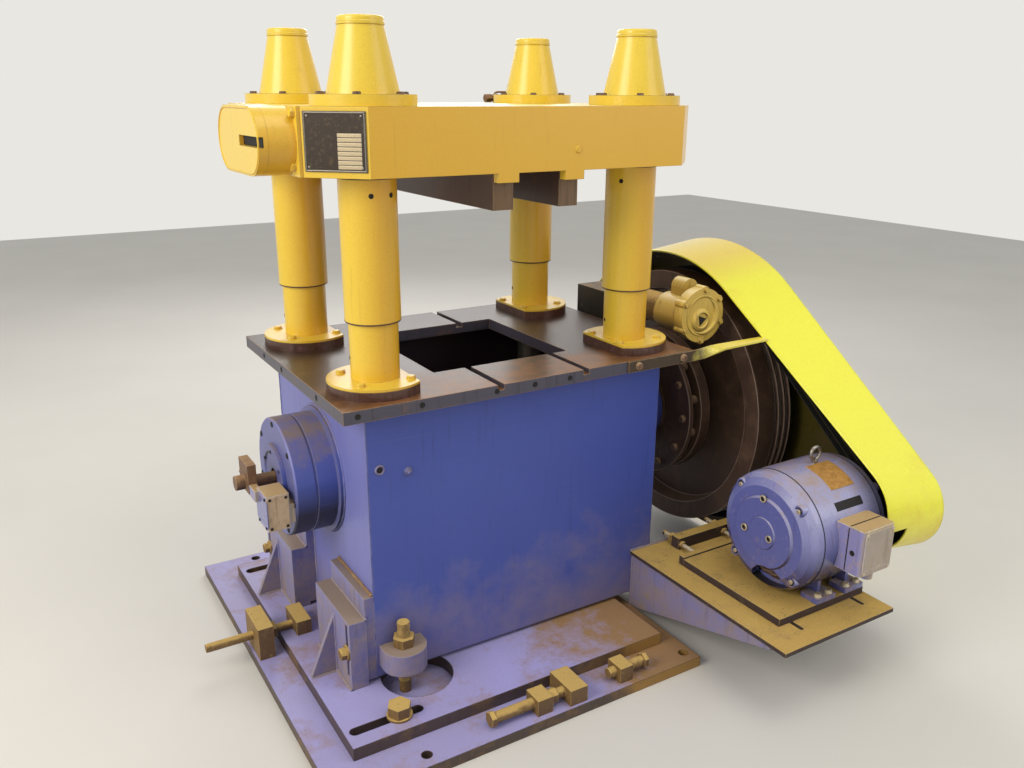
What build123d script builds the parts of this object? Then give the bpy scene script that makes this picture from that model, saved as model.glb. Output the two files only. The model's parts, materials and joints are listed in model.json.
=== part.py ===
from build123d import *
from math import acos, atan2, cos, pi, sin, sqrt
import os

# Cutoff press with four guide posts, driven from below by a crank, a flywheel and a belt motor.
# Millimetres. X runs along the long front face, Y goes back, Z up.
# The origin is on the floor, midway between the four posts.

# clearances
run_gap = 0.5          # radial gap of a moving post or shaft in its bush
seat_gap = 0.2         # radial gap between round pieces that are fixed to each other
move_gap = 8.0         # least gap between moving and still pieces elsewhere

# base plates
sole_t = 30.0
sole_margin_x = 83.0      # how far the sole plate stands out past the slide plate's left end
sole_margin_y = 108.0     # and past its front edge
sole_margin_right = 56.0
sole_margin_back = 113.0
slide_t = 35.0
slide_margin_x = 154.0    # how far the slide plate stands out past the body's left end
slide_margin_y = 215.0    # and past its front wall
slide_margin_back = 114.0
slide_right_in = 123.0    # how far its right end lies inside the body's right end
plate_slot_w = 28.0
plate_slot_l = 197.0
plate_slot_in = 112.0     # from the slide plate's left end to the middle of its slots
plate_slot_y_in = 57.0    # from its front and back edges to the slots
anchor_r = 14.0
anchor_left_in = 243.0    # from the sole plate's left end to the front hole there
anchor_right_in = 30.0
anchor_front_in = 40.0
anchor_back_in = 30.0
anchor_back_left_in = 164.0

# welded body
body_length = 916.0
body_depth = 690.0
wall_t = 20.0
body_lift = 11.0       # gap between the slide plate and the underside of the body
body_pad_inset = 40.0
bed_top = 850.0
bed_t = 33.0
bed_over_x = 75.0         # how far the bed stands out past the body's ends
bed_over_y = 55.0         # and past its front and back
opening_length = 424.0
opening_depth = 444.0
bed_slot_w = 20.0
bed_slot_t = 14.0
front_slot_x = (-110.0, 155.0)
back_slot_x = (-155.0, 100.0)

# levelling jacks
jack_reach = 27.0
jack_lug_r = 60.0
jack_lug_z = (110.0, 170.0)
jack_stud_r = 16.0
jack_stud_top = 238.0
jack_relief_r = 97.0
jack_relief_shift = 35.0
jack_nut = 52.0
jack_nut_h = 26.0

# clamp bolts of the slide plate
clamp_shift = 34.0
clamp_washer_r = 33.0
clamp_washer_t = 6.0
clamp_head = 54.0
clamp_head_h = 28.0

# posts and sleeves
post_in_x = 68.0              # from the body's ends to the posts
post_in_y = 88.0              # from its front and back to the posts
post_r = 40.0
bush_wall = 7.0
bush_h = 60.0                 # length of the bush below the bed plate
sleeve_r = 61.0
sleeve_wall = 6.0
upper_sleeve_r = 69.0
upper_sleeve_wall = 5.0
upper_sleeve_lip = 174.0      # height of the lower end of the upper sleeve above the bed
lower_sleeve_top = 360.0      # height of the top of the lower sleeve above the bed
gland_r = 122.0
gland_t = 6.0
gland_flat = 78.0             # from the post's axis to the flat of its flange
seal_t = 24.0
seal_seat = 2.0               # how deep the seal ring is let into the bed
post_foot = 330.0             # lower end of the posts above the floor

# platen
platen_over_x = 163.0         # from the posts to the platen's ends
platen_over_y = 148.0         # from the posts to its front and back
platen_under = 1372.0
platen_h = 151.0
platen_corner = 112.0
lug_w = 56.0
lug_drop = 22.0
lug_depth = 24.0
rail_x = (-92.0, 97.0)
rail_drop = 89.0
rail_short = 28.0             # how much the rails stop short of the platen's front and back
press_stroke = 100.0
name_plate_w = 146.0
name_plate_h = 128.0
name_plate_t = 3.0

# caps over the posts
cone_foot_r = 84.0
cone_head_r = 52.0
cone_h = 152.0
cone_flange_r = 122.0
cone_flange_t = 25.0
cone_neck_h = 6.0
cone_wall = 5.0

# end housing of the platen
end_in_y = 290.0          # from the platen's front to the housing's middle
end_depth = 336.0
end_flange_t = 8.0
end_flange_extra = 10.0
end_reach = 62.0
end_cap_t = 21.0
end_slot_h = 23.0
end_slot_w = 153.0

# crank line
crank_z = 552.0
crank_r = 40.0
crank_bore_r = 60.0
throw = 50.0
throw_r = 105.0
throw_w = 70.0
throw_x = 250.0
stub_r = 18.0
stub_reach = 62.0         # how far the stub stands out of its housing
housing_root_r = 178.0
housing_root_t = 12.0
housing_r = 164.0
housing_reach = 127.0
housing_groove_w = 6.0
cap_r = 93.0
cap_t = 12.0
cap_step = 4.0
right_housing_r = 205.0
right_housing_reach = 205.0
right_flange_t = 22.0
right_step = 25.0         # how much slimmer the housing is past its flange
right_taper = 45.0        # how much it has lost where its nose begins
right_nose = 40.0
coupling_t = 24.0
coupling_w = 80.0
coupling_z = (535.0, 616.0)
coupling_nose_r = 20.0
coupling_nose_l = 25.0
coupling_gap = 3.0
switch_w = 80.0
switch_y = -70.0
switch_t = 60.0
switch_z = (467.0, 566.0)
switch_stand = 15.0
switch_foot = 12.0      # how much the box's foot is set in below and at its side
switch_foot_drop = 34.0
switch_arm_h = 30.0
switch_arm_rise = 10.0
switch_arm_w = 20.0

# flywheel, clutch and belts
fly_w = 140.0
fly_r = 436.0
fly_rim_t = 60.0
fly_web_t = 36.0
fly_hub_r = 110.0
fly_hub_step = 20.0
clutch_off = 21.0      # gap between the housing's nose and the clutch
clutch_r = 245.0
clutch_t = 15.0
clutch_gap = 36.0
clutch_drum_w = 37.0
clutch_hub = 12.0      # how far the clutch's hub stands out
fly_off = 20.0         # gap between the clutch's drum and the rim
belt_count = 3
belt_w = 20.0
belt_t = 12.0
belt_rise = 3.0        # how far a belt stands out of its groove
belt_pitch = 25.0
belt_edge = 2.5        # from the last belt to the rim's far edge
pulley_r = 82.0

# motor
motor_length = 334.0
pulley_off = 9.0       # gap between the motor's end and its pulley
motor_y = -734.0
motor_z = 416.0
motor_r = 169.0
motor_shell_t = 22.0
motor_bell_l = 56.0
motor_dome_r = 101.0   # flat raised middle of the end bells
motor_dome_step = 7.0
motor_boss_r = 44.0
motor_vent_w = 66.0    # half width of the opening at the foot of an end bell
motor_vent_drop = 92.0 # from the shaft down to the opening's top edge
motor_vent_y = -28.0   # how far the opening lies to the front
motor_shaft_r = 24.0
motor_foot_t = 16.0
motor_foot_l = 74.0
motor_foot_w = 56.0
motor_foot_y = 112.0
motor_foot_x = (86.0, 198.0)        # these and the next are from the motor's left end
motor_leg_t = 12.0
conduit_x = (108.0, 231.0)
conduit_y = (-975.0, -888.0)
conduit_z = (365.0, 493.0)
conduit_round = 13.0
conduit_neck_in = 14.0
conduit_gland_r = 17.0
conduit_gland_l = 42.0
eye_x = 184.0
eye_r = 18.0
eye_wire_r = 5.0
eye_stem_r = 8.0
eye_stem_h = 10.0

# motor shelf
shelf_x = (-131.0, 287.0)           # the shelf's places along X are from the motor's left end too
shelf_front = -968.0
shelf_top = 218.0
shelf_t = 12.0
shelf_slot_x = (-8.0, 231.0)
shelf_slot_w = 13.0
shelf_slot_y = (-914.0, -800.0)
gusset_t = 12.0
gusset_h = 184.0
gusset_inset = 10.0
gusset_tip = 60.0
gusset_tip_h = 14.0
base_x = (-54.0, 276.0)
base_front = -873.0
base_back = -500.0
base_t = 22.0
base_strip_w = 20.0
base_strip_h = 28.0
rail_y = (-416.0, -382.0)
tension_rail_h = 37.0
tension_stud_x = (12.0, 186.0)
tension_stud_r = 8.0
tension_stud_end = -335.0

# guard
guard_near_off = 22.0                  # how far the guard's near edge lies before the flywheel
guard_far_off = 66.0                   # and its far side past it
guard_r = 503.0
guard_flare = 26.0                     # how much wider the guard's round is at its far side
guard_near = (-796.0, 466.0, 140.0)    # y, z and radius of the small round at the near side
guard_far = (-808.0, 436.0, 137.0)     # the same at the far side
guard_t = 4.0
guard_foot = 432.0                     # level under which the sheet is left open
guard_curl_end = -770.0                # how far back the sheet curls under the pulley
strap_w = 32.0
strap_t = 6.0
strap_l = 240.0
strap_turn = 30.0                      # each of the three stretches that turn the bar flat
strap_rise = 12.0                      # how far over the bed the bar meets the guard

# foot brackets
bracket_pad_t = 27.0
bracket_t = 47.0
bracket_w = 248.0
bracket_top = 262.0
bracket_pad_top = 318.0
bracket_rib_l = 74.0
bracket_rib_t = 12.0
bracket_rib_drop = 21.0
bracket_rib_y = 242.0
bracket_slot_w = 15.0
bracket_slot_in = 21.0     # from the upright's outer edge to its slot
bracket_slot_z = (98.0, 252.0)

# adjusting screws of the slide plate
side_screw_y = 15.0
side_screw_z = 78.0
side_screw_r = 12.0
side_screw_out = 123.0     # how far the screw stands out past the sole plate
side_lug_x = (8.0, 52.0)   # from the sole plate's left end
side_lug_y = (-50.0, 80.0)
side_lug_top = 128.0
side_stop_x = (39.0, 82.0) # from the slide plate's left end
side_stop_y = (-36.0, 68.0)
side_stop_top = 108.0
side_nut = 44.0
side_nut_h = 20.0
front_screw_out = 62.0     # from the slide plate's front edge to the screws
front_screw_z = 54.0
front_screw_r = 14.0
front_screw_x = (-262.0, -101.0)
front_lug_x = (-147.0, -101.0)
front_stop_x = (-52.0, 2.0)
front_end_x = (118.0, 160.0)
front_end_screw_x = (96.0, 212.0)
front_lug_half = 29.0
front_stop_out = 100.0
front_lug_top = 76.0
front_nut = 36.0
front_nut_h = 24.0
front_head_l = 13.0

# air valve and its box
valve_off = 122.0          # these are from the bed's right end
valve_z = 916.0
valve_r = 83.0
valve_front = -300.0
valve_face_t = 38.0
valve_body_r = 60.0
valve_back = -160.0
valve_lobe_r = 13.0        # ears for the bolts round the face
valve_lobe_at = (35, 85, 150, 210, 270, 340)
valve_ear_r = 28.0
valve_ear_rise = 74.0
air_pipe_r = 46.0
air_pipe_thin_r = 20.0
air_pipe_step = -60.0
air_pipe_off = 107.0
air_pipe_z = 908.0
air_box_off = (27.0, 183.0)
air_box_y = (-10.0, 217.0)
air_box_z = (838.0, 932.0)
air_shelf_t = 12.0
air_arm_in = 30.0          # how much shorter the arm is than the box at each end

# derived levels
plate_top = sole_t + slide_t
body_foot = plate_top + body_lift
body_top = bed_top - bed_t
platen_top = platen_under + platen_h

# derived places, from the body outwards
half_x = body_length / 2
half_y = body_depth / 2
post_x = half_x - post_in_x
post_y = half_y - post_in_y
bed_length = body_length + 2 * bed_over_x
bed_depth = body_depth + 2 * bed_over_y
platen_length = 2 * (post_x + platen_over_x)
platen_depth = 2 * (post_y + platen_over_y)
end_y = end_in_y - platen_depth / 2
slide_left = -half_x - slide_margin_x
slide_right = half_x - slide_right_in
slide_front = -half_y - slide_margin_y
slide_back = half_y + slide_margin_back
sole_left = slide_left - sole_margin_x
sole_right = slide_right + sole_margin_right
sole_front = slide_front - sole_margin_y
sole_back = slide_back + sole_margin_back
plate_slot_y = (slide_front + plate_slot_y_in, slide_back - plate_slot_y_in)
clutch_near = half_x + right_housing_reach + clutch_off
clutch_far = clutch_near + clutch_t + clutch_gap + clutch_drum_w
fly_near = clutch_far + fly_off
fly_far = fly_near + fly_w
belt_half = (belt_pitch * (belt_count - 1) + belt_w) / 2
belt_mid = fly_far - belt_edge - belt_half
pulley_half = belt_pitch * belt_count / 2
motor_x1 = belt_mid - pulley_half - pulley_off
motor_x0 = motor_x1 - motor_length
shelf_x0, shelf_x1 = (motor_x0 + x for x in shelf_x)
base_x0, base_x1 = (motor_x0 + x for x in base_x)
guard_x0 = fly_near - guard_near_off
guard_x1 = fly_far + guard_far_off
valve_x = bed_length / 2 + valve_off
air_pipe_x = bed_length / 2 + air_pipe_off
stub_end = half_x + housing_reach + stub_reach
corners = {"front_left": (-1, -1), "front_right": (1, -1), "back_left": (-1, 1), "back_right": (1, 1)}

os.makedirs("parts", exist_ok=True)


def block(x0, x1, y0, y1, z0, z1):
    """A box between two corners."""
    return Pos(x0, y0, z0) * Box(x1 - x0, y1 - y0, z1 - z0, align=(Align.MIN, Align.MIN, Align.MIN))


from_foot = (Align.CENTER, Align.CENTER, Align.MIN)


def rod_z(x, y, z0, z1, r):
    return Pos(x, y, z0) * Cylinder(r, z1 - z0, align=from_foot)


def rod_x(x0, x1, y, z, r):
    return Pos(x0, y, z) * Rot(0, 90, 0) * Cylinder(r, x1 - x0, align=from_foot)


def rod_y(x, y0, y1, z, r):
    return Pos(x, y0, z) * Rot(-90, 0, 0) * Cylinder(r, y1 - y0, align=from_foot)


def hex_z(x, y, z0, z1, across):
    """A hexagonal nut or bolt head with its flats this far apart."""
    return Pos(x, y, z0) * extrude(RegularPolygon(across / 2, 6, major_radius=False), z1 - z0)


def hex_x(x0, x1, y, z, across):
    """A hexagonal nut or bolt head along X with its flats this far apart."""
    return Pos(x0, y, z) * Rot(0, 90, 0) * extrude(RegularPolygon(across / 2, 6, major_radius=False), x1 - x0)


def revolve_x(profile, y, z):
    """Turns a list of (x, radius) points about the line through y and z that runs along X."""
    flat = make_face(Polyline([(x, 0, r) for x, r in profile], close=True))
    return Pos(0, y, z) * revolve(flat, Axis.X, 360)


def slot_cut(x, y, length, width, z0, z1):
    """An upright cut with round ends, its length along X."""
    return Pos(x, y, z0) * extrude(SlotOverall(length, width), z1 - z0)


def save(node, shape):
    export_step(shape, "parts/" + node + ".step")


def save_group(node, solids):
    export_step(Compound(children=list(solids)), "parts/" + node + ".step")


# base plates

def sole_plate():
    plate = block(sole_left, sole_right, sole_front, sole_back, 0, sole_t)
    for x in (sole_left + anchor_left_in, sole_right - anchor_right_in):
        plate -= rod_z(x, sole_front + anchor_front_in, -1, sole_t + 1, anchor_r)
    for x in (sole_left + anchor_back_left_in, sole_right - anchor_right_in):
        plate -= rod_z(x, sole_back - anchor_back_in, -1, sole_t + 1, anchor_r)
    return plate


def slide_plate():
    plate = block(slide_left, slide_right, slide_front, slide_back, sole_t, plate_top)
    for y in plate_slot_y:
        plate -= slot_cut(slide_left + plate_slot_in, y, plate_slot_l, plate_slot_w, sole_t - 1, plate_top + 1)
    for x, y in jack_places():
        plate -= rod_z(x + jack_relief_shift, y, sole_t - 1, plate_top + 1, jack_relief_r)
    return plate


def clamp_places():
    return [(slide_left + plate_slot_in + clamp_shift, y) for y in plate_slot_y]


def jack_places():
    return [(-post_x, sy * (half_y + jack_reach)) for sy in (-1, 1)]


def jack_lugs():
    lugs = []
    for x, y in jack_places():
        root = half_y if y > 0 else -half_y
        lug = block(x - jack_lug_r, x + jack_lug_r, min(y, root), max(y, root), *jack_lug_z)
        lug += rod_z(x, y, *jack_lug_z, jack_lug_r)
        lug -= block(-half_x, half_x, -half_y, half_y, 0, body_top)
        lugs.append(lug - rod_z(x, y, 0, jack_lug_z[1] + 1, jack_stud_r + seat_gap))
    return lugs


def jack_screws():
    screws = []
    for x, y in jack_places():
        screw = rod_z(x, y, sole_t, jack_stud_top, jack_stud_r)
        screw += hex_z(x, y, jack_lug_z[1], jack_lug_z[1] + jack_nut_h, jack_nut)
        screw += hex_z(x, y, jack_lug_z[0] - jack_nut_h, jack_lug_z[0], jack_nut)
        screws.append(screw)
    return screws


def clamp_bolts():
    bolts = []
    z0 = plate_top + clamp_washer_t
    for x, y in clamp_places():
        bolt = rod_z(x, y, sole_t, plate_top, plate_slot_w / 2 - 2)
        bolt += rod_z(x, y, plate_top, z0, clamp_washer_r)
        bolts.append(bolt + hex_z(x, y, z0, z0 + clamp_head_h, clamp_head))
    return bolts


# body

def body_walls():
    inner_y = half_y - wall_t
    floor_top = body_foot + wall_t
    front = block(-half_x, half_x, -half_y, -inner_y, body_foot, body_top)
    back = block(-half_x, half_x, inner_y, half_y, body_foot, body_top)
    left = block(-half_x, -half_x + wall_t, -inner_y, inner_y, floor_top, body_top)
    right = block(half_x - wall_t, half_x, -inner_y, inner_y, floor_top, body_top)
    left -= rod_x(-half_x - 1, -half_x + wall_t + 1, 0, crank_z, crank_bore_r)
    right -= rod_x(half_x - wall_t - 1, half_x + 1, 0, crank_z, crank_bore_r)
    floor = block(-half_x, half_x, -inner_y, inner_y, body_foot, floor_top)
    pad_y = inner_y - body_pad_inset
    pad_right = slide_right - body_pad_inset
    floor += block(-half_x + body_pad_inset, pad_right, -pad_y, pad_y, plate_top, body_foot)
    return {"body_front_wall": front, "body_back_wall": back, "body_left_wall": left,
            "body_right_wall": right, "body_floor": floor}


def bed_plate():
    x, y = bed_length / 2, bed_depth / 2
    plate = block(-x, x, -y, y, body_top, bed_top)
    ox, oy = opening_length / 2, opening_depth / 2
    plate -= block(-ox, ox, -oy, oy, body_top - 1, bed_top + 1)
    for px, py in post_places():
        plate -= rod_z(px, py, body_top - 1, bed_top + 1, post_r + bush_wall)
        plate -= gland_plan(px, py, bed_top - seal_seat, bed_top + 1, seat_gap)
    for slots, y0, y1 in ((front_slot_x, -y - 1, -oy), (back_slot_x, oy, y + 1)):
        for mid in slots:
            x0 = mid - bed_slot_w / 2
            plate -= block(x0, x0 + bed_slot_w, y0, y1, bed_top - bed_slot_t, bed_top + 1)
    return plate


# posts

def post_places():
    return [(sx * post_x, sy * post_y) for sx in (-1, 1) for sy in (-1, 1)]


def gland_plan(x, y, z0, z1, grow):
    """A round plate with a flat where it faces the die opening, a little larger by this much all round."""
    plan = rod_z(x, y, z0, z1, gland_r + grow)
    away = gland_flat + grow
    reach = gland_r + grow + 1
    x0, x1 = (x + away, x + reach) if x < 0 else (x - reach, x - away)
    return plan - block(x0, x1, y - reach, y + reach, z0 - 1, z1 + 1)


def seal_rings():
    rings = []
    for x, y in post_places():
        ring = gland_plan(x, y, bed_top - seal_seat, bed_top + seal_t, 0)
        rings.append(ring - rod_z(x, y, bed_top - seal_seat - 1, bed_top + seal_t + 1, post_r + bush_wall))
    return rings


def guide_bushes():
    bushes = []
    for x, y in post_places():
        z0, z1 = body_top - bush_h, bed_top + seal_t
        bush = rod_z(x, y, z0, z1, post_r + bush_wall - seat_gap)
        bushes.append(bush - rod_z(x, y, z0 - 1, z1 + 1, post_r + run_gap))
    return bushes


def lower_sleeve(x, y):
    z0 = bed_top + seal_t
    flange = gland_plan(x, y, z0, z0 + gland_t, 0)
    tube = rod_z(x, y, z0, bed_top + lower_sleeve_top, sleeve_r)
    bore = rod_z(x, y, z0 - 1, bed_top + lower_sleeve_top + 1, sleeve_r - sleeve_wall)
    return flange + tube - bore


def upper_sleeve(x, y):
    z0 = bed_top + upper_sleeve_lip
    tube = rod_z(x, y, z0, platen_under, upper_sleeve_r)
    return tube - rod_z(x, y, z0 - 1, platen_under + 1, upper_sleeve_r - upper_sleeve_wall)


def guide_posts():
    return [rod_z(x, y, post_foot, platen_under, post_r) for x, y in post_places()]


def cone_cap(x, y):
    """A thin tapered cap on a round flange, with a short straight neck under its lid."""
    z0 = platen_top
    z1 = z0 + cone_flange_t
    z2 = z1 + cone_h - cone_neck_h
    z3 = z1 + cone_h
    outer = [(cone_foot_r - cone_wall, z0), (cone_flange_r, z0), (cone_flange_r, z1), (cone_foot_r, z1),
             (cone_head_r, z2), (cone_head_r + 2, z2), (cone_head_r + 2, z3), (0, z3), (0, z3 - cone_wall),
             (cone_head_r - cone_wall, z3 - cone_wall)]
    flat = make_face(Polyline([(r, 0, z) for r, z in outer], close=True))
    return Pos(x, y, 0) * revolve(flat, Axis.Z, 360)


# platen

def chamfered_plan(length, depth, corner):
    x, y = length / 2, depth / 2
    points = [(-x + corner, -y), (x - corner, -y), (x, -y + corner), (x, y - corner),
              (x - corner, y), (-x + corner, y), (-x, y - corner), (-x, -y + corner)]
    return make_face(Polyline(points, close=True))


def platen():
    plan = chamfered_plan(platen_length, platen_depth, platen_corner)
    body = Pos(0, 0, platen_under) * extrude(plan, platen_h)
    y = platen_depth / 2
    for x in rail_x:
        x0, x1 = x - lug_w / 2, x + lug_w / 2
        for y0 in (-y, y - lug_depth):
            body += block(x0, x1, y0, y0 + lug_depth, platen_under - lug_drop, platen_under)
    return body


def die_rails():
    half, z0, y = lug_w / 2, platen_under - rail_drop, platen_depth / 2 - rail_short
    return [block(x - half, x + half, -y, y, z0, platen_under) for x in rail_x]


def obround_x(x0, x1):
    """A bar along X with the platen's full height and fully round front and back."""
    middle = platen_under + platen_h / 2
    face = Plane.YZ.offset(x0) * Pos(end_y, middle) * SlotOverall(end_depth, platen_h)
    return extrude(face, x1 - x0)


def end_housing():
    x1 = -platen_length / 2
    half = end_depth / 2 + end_flange_extra
    flange = block(x1 - end_flange_t, x1, end_y - half, end_y + half, platen_under, platen_top)
    return flange + obround_x(x1 - end_flange_t - end_reach, x1 - end_flange_t)


def end_cap():
    """The lid of the end housing, with a slot that runs out at its front rim."""
    x1 = -platen_length / 2 - end_flange_t - end_reach
    middle = platen_under + platen_h / 2
    y = end_y - end_depth / 2
    cut = block(x1 - end_cap_t - 1, x1 - end_cap_t / 2, y - 1, y + end_slot_w, middle - end_slot_h / 2,
                middle + end_slot_h / 2)
    return obround_x(x1 - end_cap_t, x1) - cut


def name_plate():
    """A bare plate on the slanted corner at the front left."""
    x, y = -platen_length / 2 + platen_corner / 2, -platen_depth / 2 + platen_corner / 2
    plate = Box(name_plate_w, name_plate_t, name_plate_h, align=(Align.CENTER, Align.MAX, Align.CENTER))
    return Pos(x, y, platen_under + platen_h / 2 + 2) * Rot(0, 0, -45) * plate


# crank line

def crank_housing():
    """The left bearing housing: a root ring on the body's end, a round drum with one groove, a flat face."""
    x0 = -half_x
    x2 = x0 - housing_root_t
    x3 = x0 - housing_reach
    groove = (x2 + x3) / 2
    half = housing_groove_w / 2
    profile = [(x0, crank_bore_r), (x0, housing_root_r), (x2, housing_root_r), (x2, housing_r),
               (groove + half, housing_r), (groove + half, housing_r - 3), (groove - half, housing_r - 3),
               (groove - half, housing_r), (x3 + 4, housing_r), (x3, housing_r - 4), (x3, crank_bore_r)]
    return revolve_x(profile, 0, crank_z)


def housing_cap():
    x0 = -half_x - housing_reach
    bore = stub_r + move_gap
    profile = [(x0, bore), (x0, cap_r), (x0 - cap_t, cap_r), (x0 - cap_t, cap_r * 0.8),
               (x0 - cap_t + cap_step, cap_r * 0.74), (x0 - cap_t + cap_step, bore)]
    return revolve_x(profile, 0, crank_z)


def right_housing():
    x0 = half_x
    x1, x2 = x0 + right_flange_t, x0 + right_housing_reach
    profile = [(x0, crank_bore_r), (x0, right_housing_r), (x1, right_housing_r),
               (x1, right_housing_r - right_step), (x2 - right_nose, right_housing_r - right_taper),
               (x2, right_housing_r - right_taper - right_step), (x2, crank_bore_r)]
    return revolve_x(profile, 0, crank_z)


def crank_shaft():
    """The crank with two round throws inside the body and a stub at its left end."""
    neck = -half_x - housing_reach + move_gap
    shaft = rod_x(neck, fly_far - 2 * move_gap, 0, crank_z, crank_r)
    shaft += rod_x(-stub_end, neck, 0, crank_z, stub_r)
    for x in (-throw_x, throw_x):
        shaft += rod_x(x - throw_w / 2, x + throw_w / 2, 0, crank_z + throw, throw_r)
    return shaft


def rotary_coupling():
    """The swivel block past the stub, with a round nose and a side port."""
    x1 = -stub_end - coupling_gap
    x0 = x1 - coupling_t
    swivel = block(x0, x1, -coupling_w / 2, coupling_w / 2, *coupling_z)
    swivel += rod_x(x0 - coupling_nose_l, x0, 0, crank_z + 5, coupling_nose_r)
    port_y = coupling_w / 2
    swivel += rod_y((x0 + x1) / 2, port_y, port_y + coupling_nose_l, crank_z + 10, coupling_t / 3)
    return swivel


def switch_box():
    """The small box on a bracket that is fixed to the housing's face, and carries the swivel block."""
    x2 = -half_x - housing_reach
    x1 = x2 - switch_stand
    x0 = x1 - switch_t
    y0, y1 = switch_y - switch_w, switch_y
    box = block(x0, x1, y0, y1, *switch_z)
    z0, z1 = switch_z[0] + switch_foot, switch_z[1] - switch_foot_drop
    box += block(x1, x2, y0 + cap_step, -cap_r - cap_step, z0, z1)
    arm_x1 = -stub_end - coupling_gap - 2
    arm_x0 = arm_x1 - switch_arm_w
    arm_top = crank_z + switch_arm_rise
    arm_foot = arm_top - switch_arm_h
    box += block(arm_x0, arm_x1, y1, -coupling_w / 2, arm_foot, arm_top)
    box += block(arm_x0, x0, y1 - switch_arm_w, y1, arm_foot, arm_top)
    return box


def groove_run(r):
    """Points along a rim of this radius that dip into one groove for each belt."""
    first = belt_mid - belt_pitch * (belt_count - 1) / 2
    points = []
    for i in range(belt_count):
        x = first + belt_pitch * i
        points += [(x - belt_w / 2, r), (x - belt_w / 3, r - belt_t), (x + belt_w / 3, r - belt_t),
                   (x + belt_w / 2, r)]
    return points


def flywheel():
    """A rim with belt grooves, a thin web and a hub on the crank shaft."""
    x0, x1 = fly_near, fly_far
    mid = (x0 + x1) / 2
    bore = crank_r + run_gap
    rim_in = fly_r - fly_rim_t
    web0, web1 = mid - fly_web_t / 2, mid + fly_web_t / 2
    outer = [(x0, rim_in), (x0, fly_r)] + groove_run(fly_r)
    outer += [(x1, fly_r), (x1, rim_in), (web1, rim_in - 10), (web1, fly_hub_r + 10)]
    outer += [(x1 - fly_hub_step, fly_hub_r), (x1 - fly_hub_step, bore), (x0, bore), (x0, fly_hub_r)]
    outer += [(web0, fly_hub_r + 10), (web0, rim_in - 10)]
    return revolve_x(outer, 0, crank_z)


def clutch_disc():
    """The clutch on the flywheel's near side: a stack of discs of two sizes on a hub."""
    x0 = clutch_near
    x1 = x0 + clutch_t
    bore = crank_r + run_gap
    drum0 = x1 + clutch_gap
    drum1 = clutch_far
    inner = clutch_r * 0.78
    profile = [(x0 - clutch_hub, bore), (x0 - clutch_hub, clutch_r * 0.4), (x0, clutch_r * 0.5), (x0, clutch_r),
               (x1, clutch_r), (x1, inner), (drum0, inner), (drum0, clutch_r - 2),
               (drum1, clutch_r - 2), (drum1, inner),
               (fly_near, clutch_r * 0.6), (fly_near, bore)]
    return revolve_x(profile, 0, crank_z)


# motor

def motor_barrel():
    x0, x1 = motor_x0 + motor_bell_l, motor_x1 - motor_bell_l
    inner = motor_r - motor_shell_t
    barrel = revolve_x([(x0, inner), (x0, motor_r), (x1, motor_r), (x1, inner)], motor_y, motor_z)
    foot_z = shelf_top + base_t
    half = motor_foot_w / 2
    for foot_x in motor_foot_x:
        x = motor_x0 + foot_x
        for side in (-1, 1):
            y = motor_y + side * motor_foot_y
            foot = block(x, x + motor_foot_l, y - half, y + half, foot_z, foot_z + motor_foot_t)
            y0, y1 = sorted((y, y - side * motor_r / 4))
            leg_x = x + (motor_foot_l - motor_leg_t) / 2
            leg = block(leg_x, leg_x + motor_leg_t, y0, y1, foot_z, motor_z - motor_r / 3)
            barrel += foot + (leg - rod_x(x0, x1, motor_y, motor_z, motor_r - 4))
    return barrel


def bell_profile(x0, d):
    """End bell from its joint with the barrel outwards, towards +X or -X."""
    inner = motor_r - motor_shell_t
    l, step = motor_bell_l, motor_dome_step
    outer = [(0, inner), (0, motor_r - 1), (0.35 * l, 0.98 * motor_r), (0.62 * l, 0.9 * motor_r),
             (0.8 * l, 0.775 * motor_r), (l - 1.5 * step, motor_dome_r + 2), (l - step / 2, motor_dome_r - 3),
             (l - step / 2, motor_boss_r + 2), (l, motor_boss_r), (l, motor_shaft_r + run_gap)]
    hollow = [(l / 2, motor_shaft_r + run_gap), (l / 2, motor_dome_r), (l / 7, inner)]
    return [(x0 + d * x, r) for x, r in outer + hollow]


def motor_bells():
    """The two end bells, each with a wide air opening at its foot; the left one is closed at its middle."""
    bells = []
    for x0, d in ((motor_x0 + motor_bell_l, -1), (motor_x1 - motor_bell_l, 1)):
        bell = revolve_x(bell_profile(x0, d), motor_y, motor_z)
        if d < 0:
            bell += rod_x(x0 - motor_bell_l, x0 - motor_bell_l / 2 - move_gap, motor_y, motor_z, motor_boss_r)
        vent_z = motor_z - motor_vent_drop - motor_vent_w
        vent = rod_x(x0 - 2 * motor_bell_l, x0 + 2 * motor_bell_l, motor_y + motor_vent_y, vent_z, motor_vent_w)
        rim = rod_x(x0 - motor_bell_l, x0 + motor_bell_l, motor_y, motor_z, motor_r - motor_shell_t / 2)
        bells.append(bell - (vent & rim))
    return bells


def motor_rotor():
    """Shaft with a grooved pulley."""
    x0, x1 = belt_mid - pulley_half, belt_mid + pulley_half
    inside = motor_x0 + motor_bell_l / 2
    outer = [(x0, motor_shaft_r), (x0, pulley_r)] + groove_run(pulley_r)
    outer += [(x1, pulley_r), (x1, 0), (inside, 0), (inside, motor_shaft_r)]
    return revolve_x(outer, motor_y, motor_z)


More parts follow.
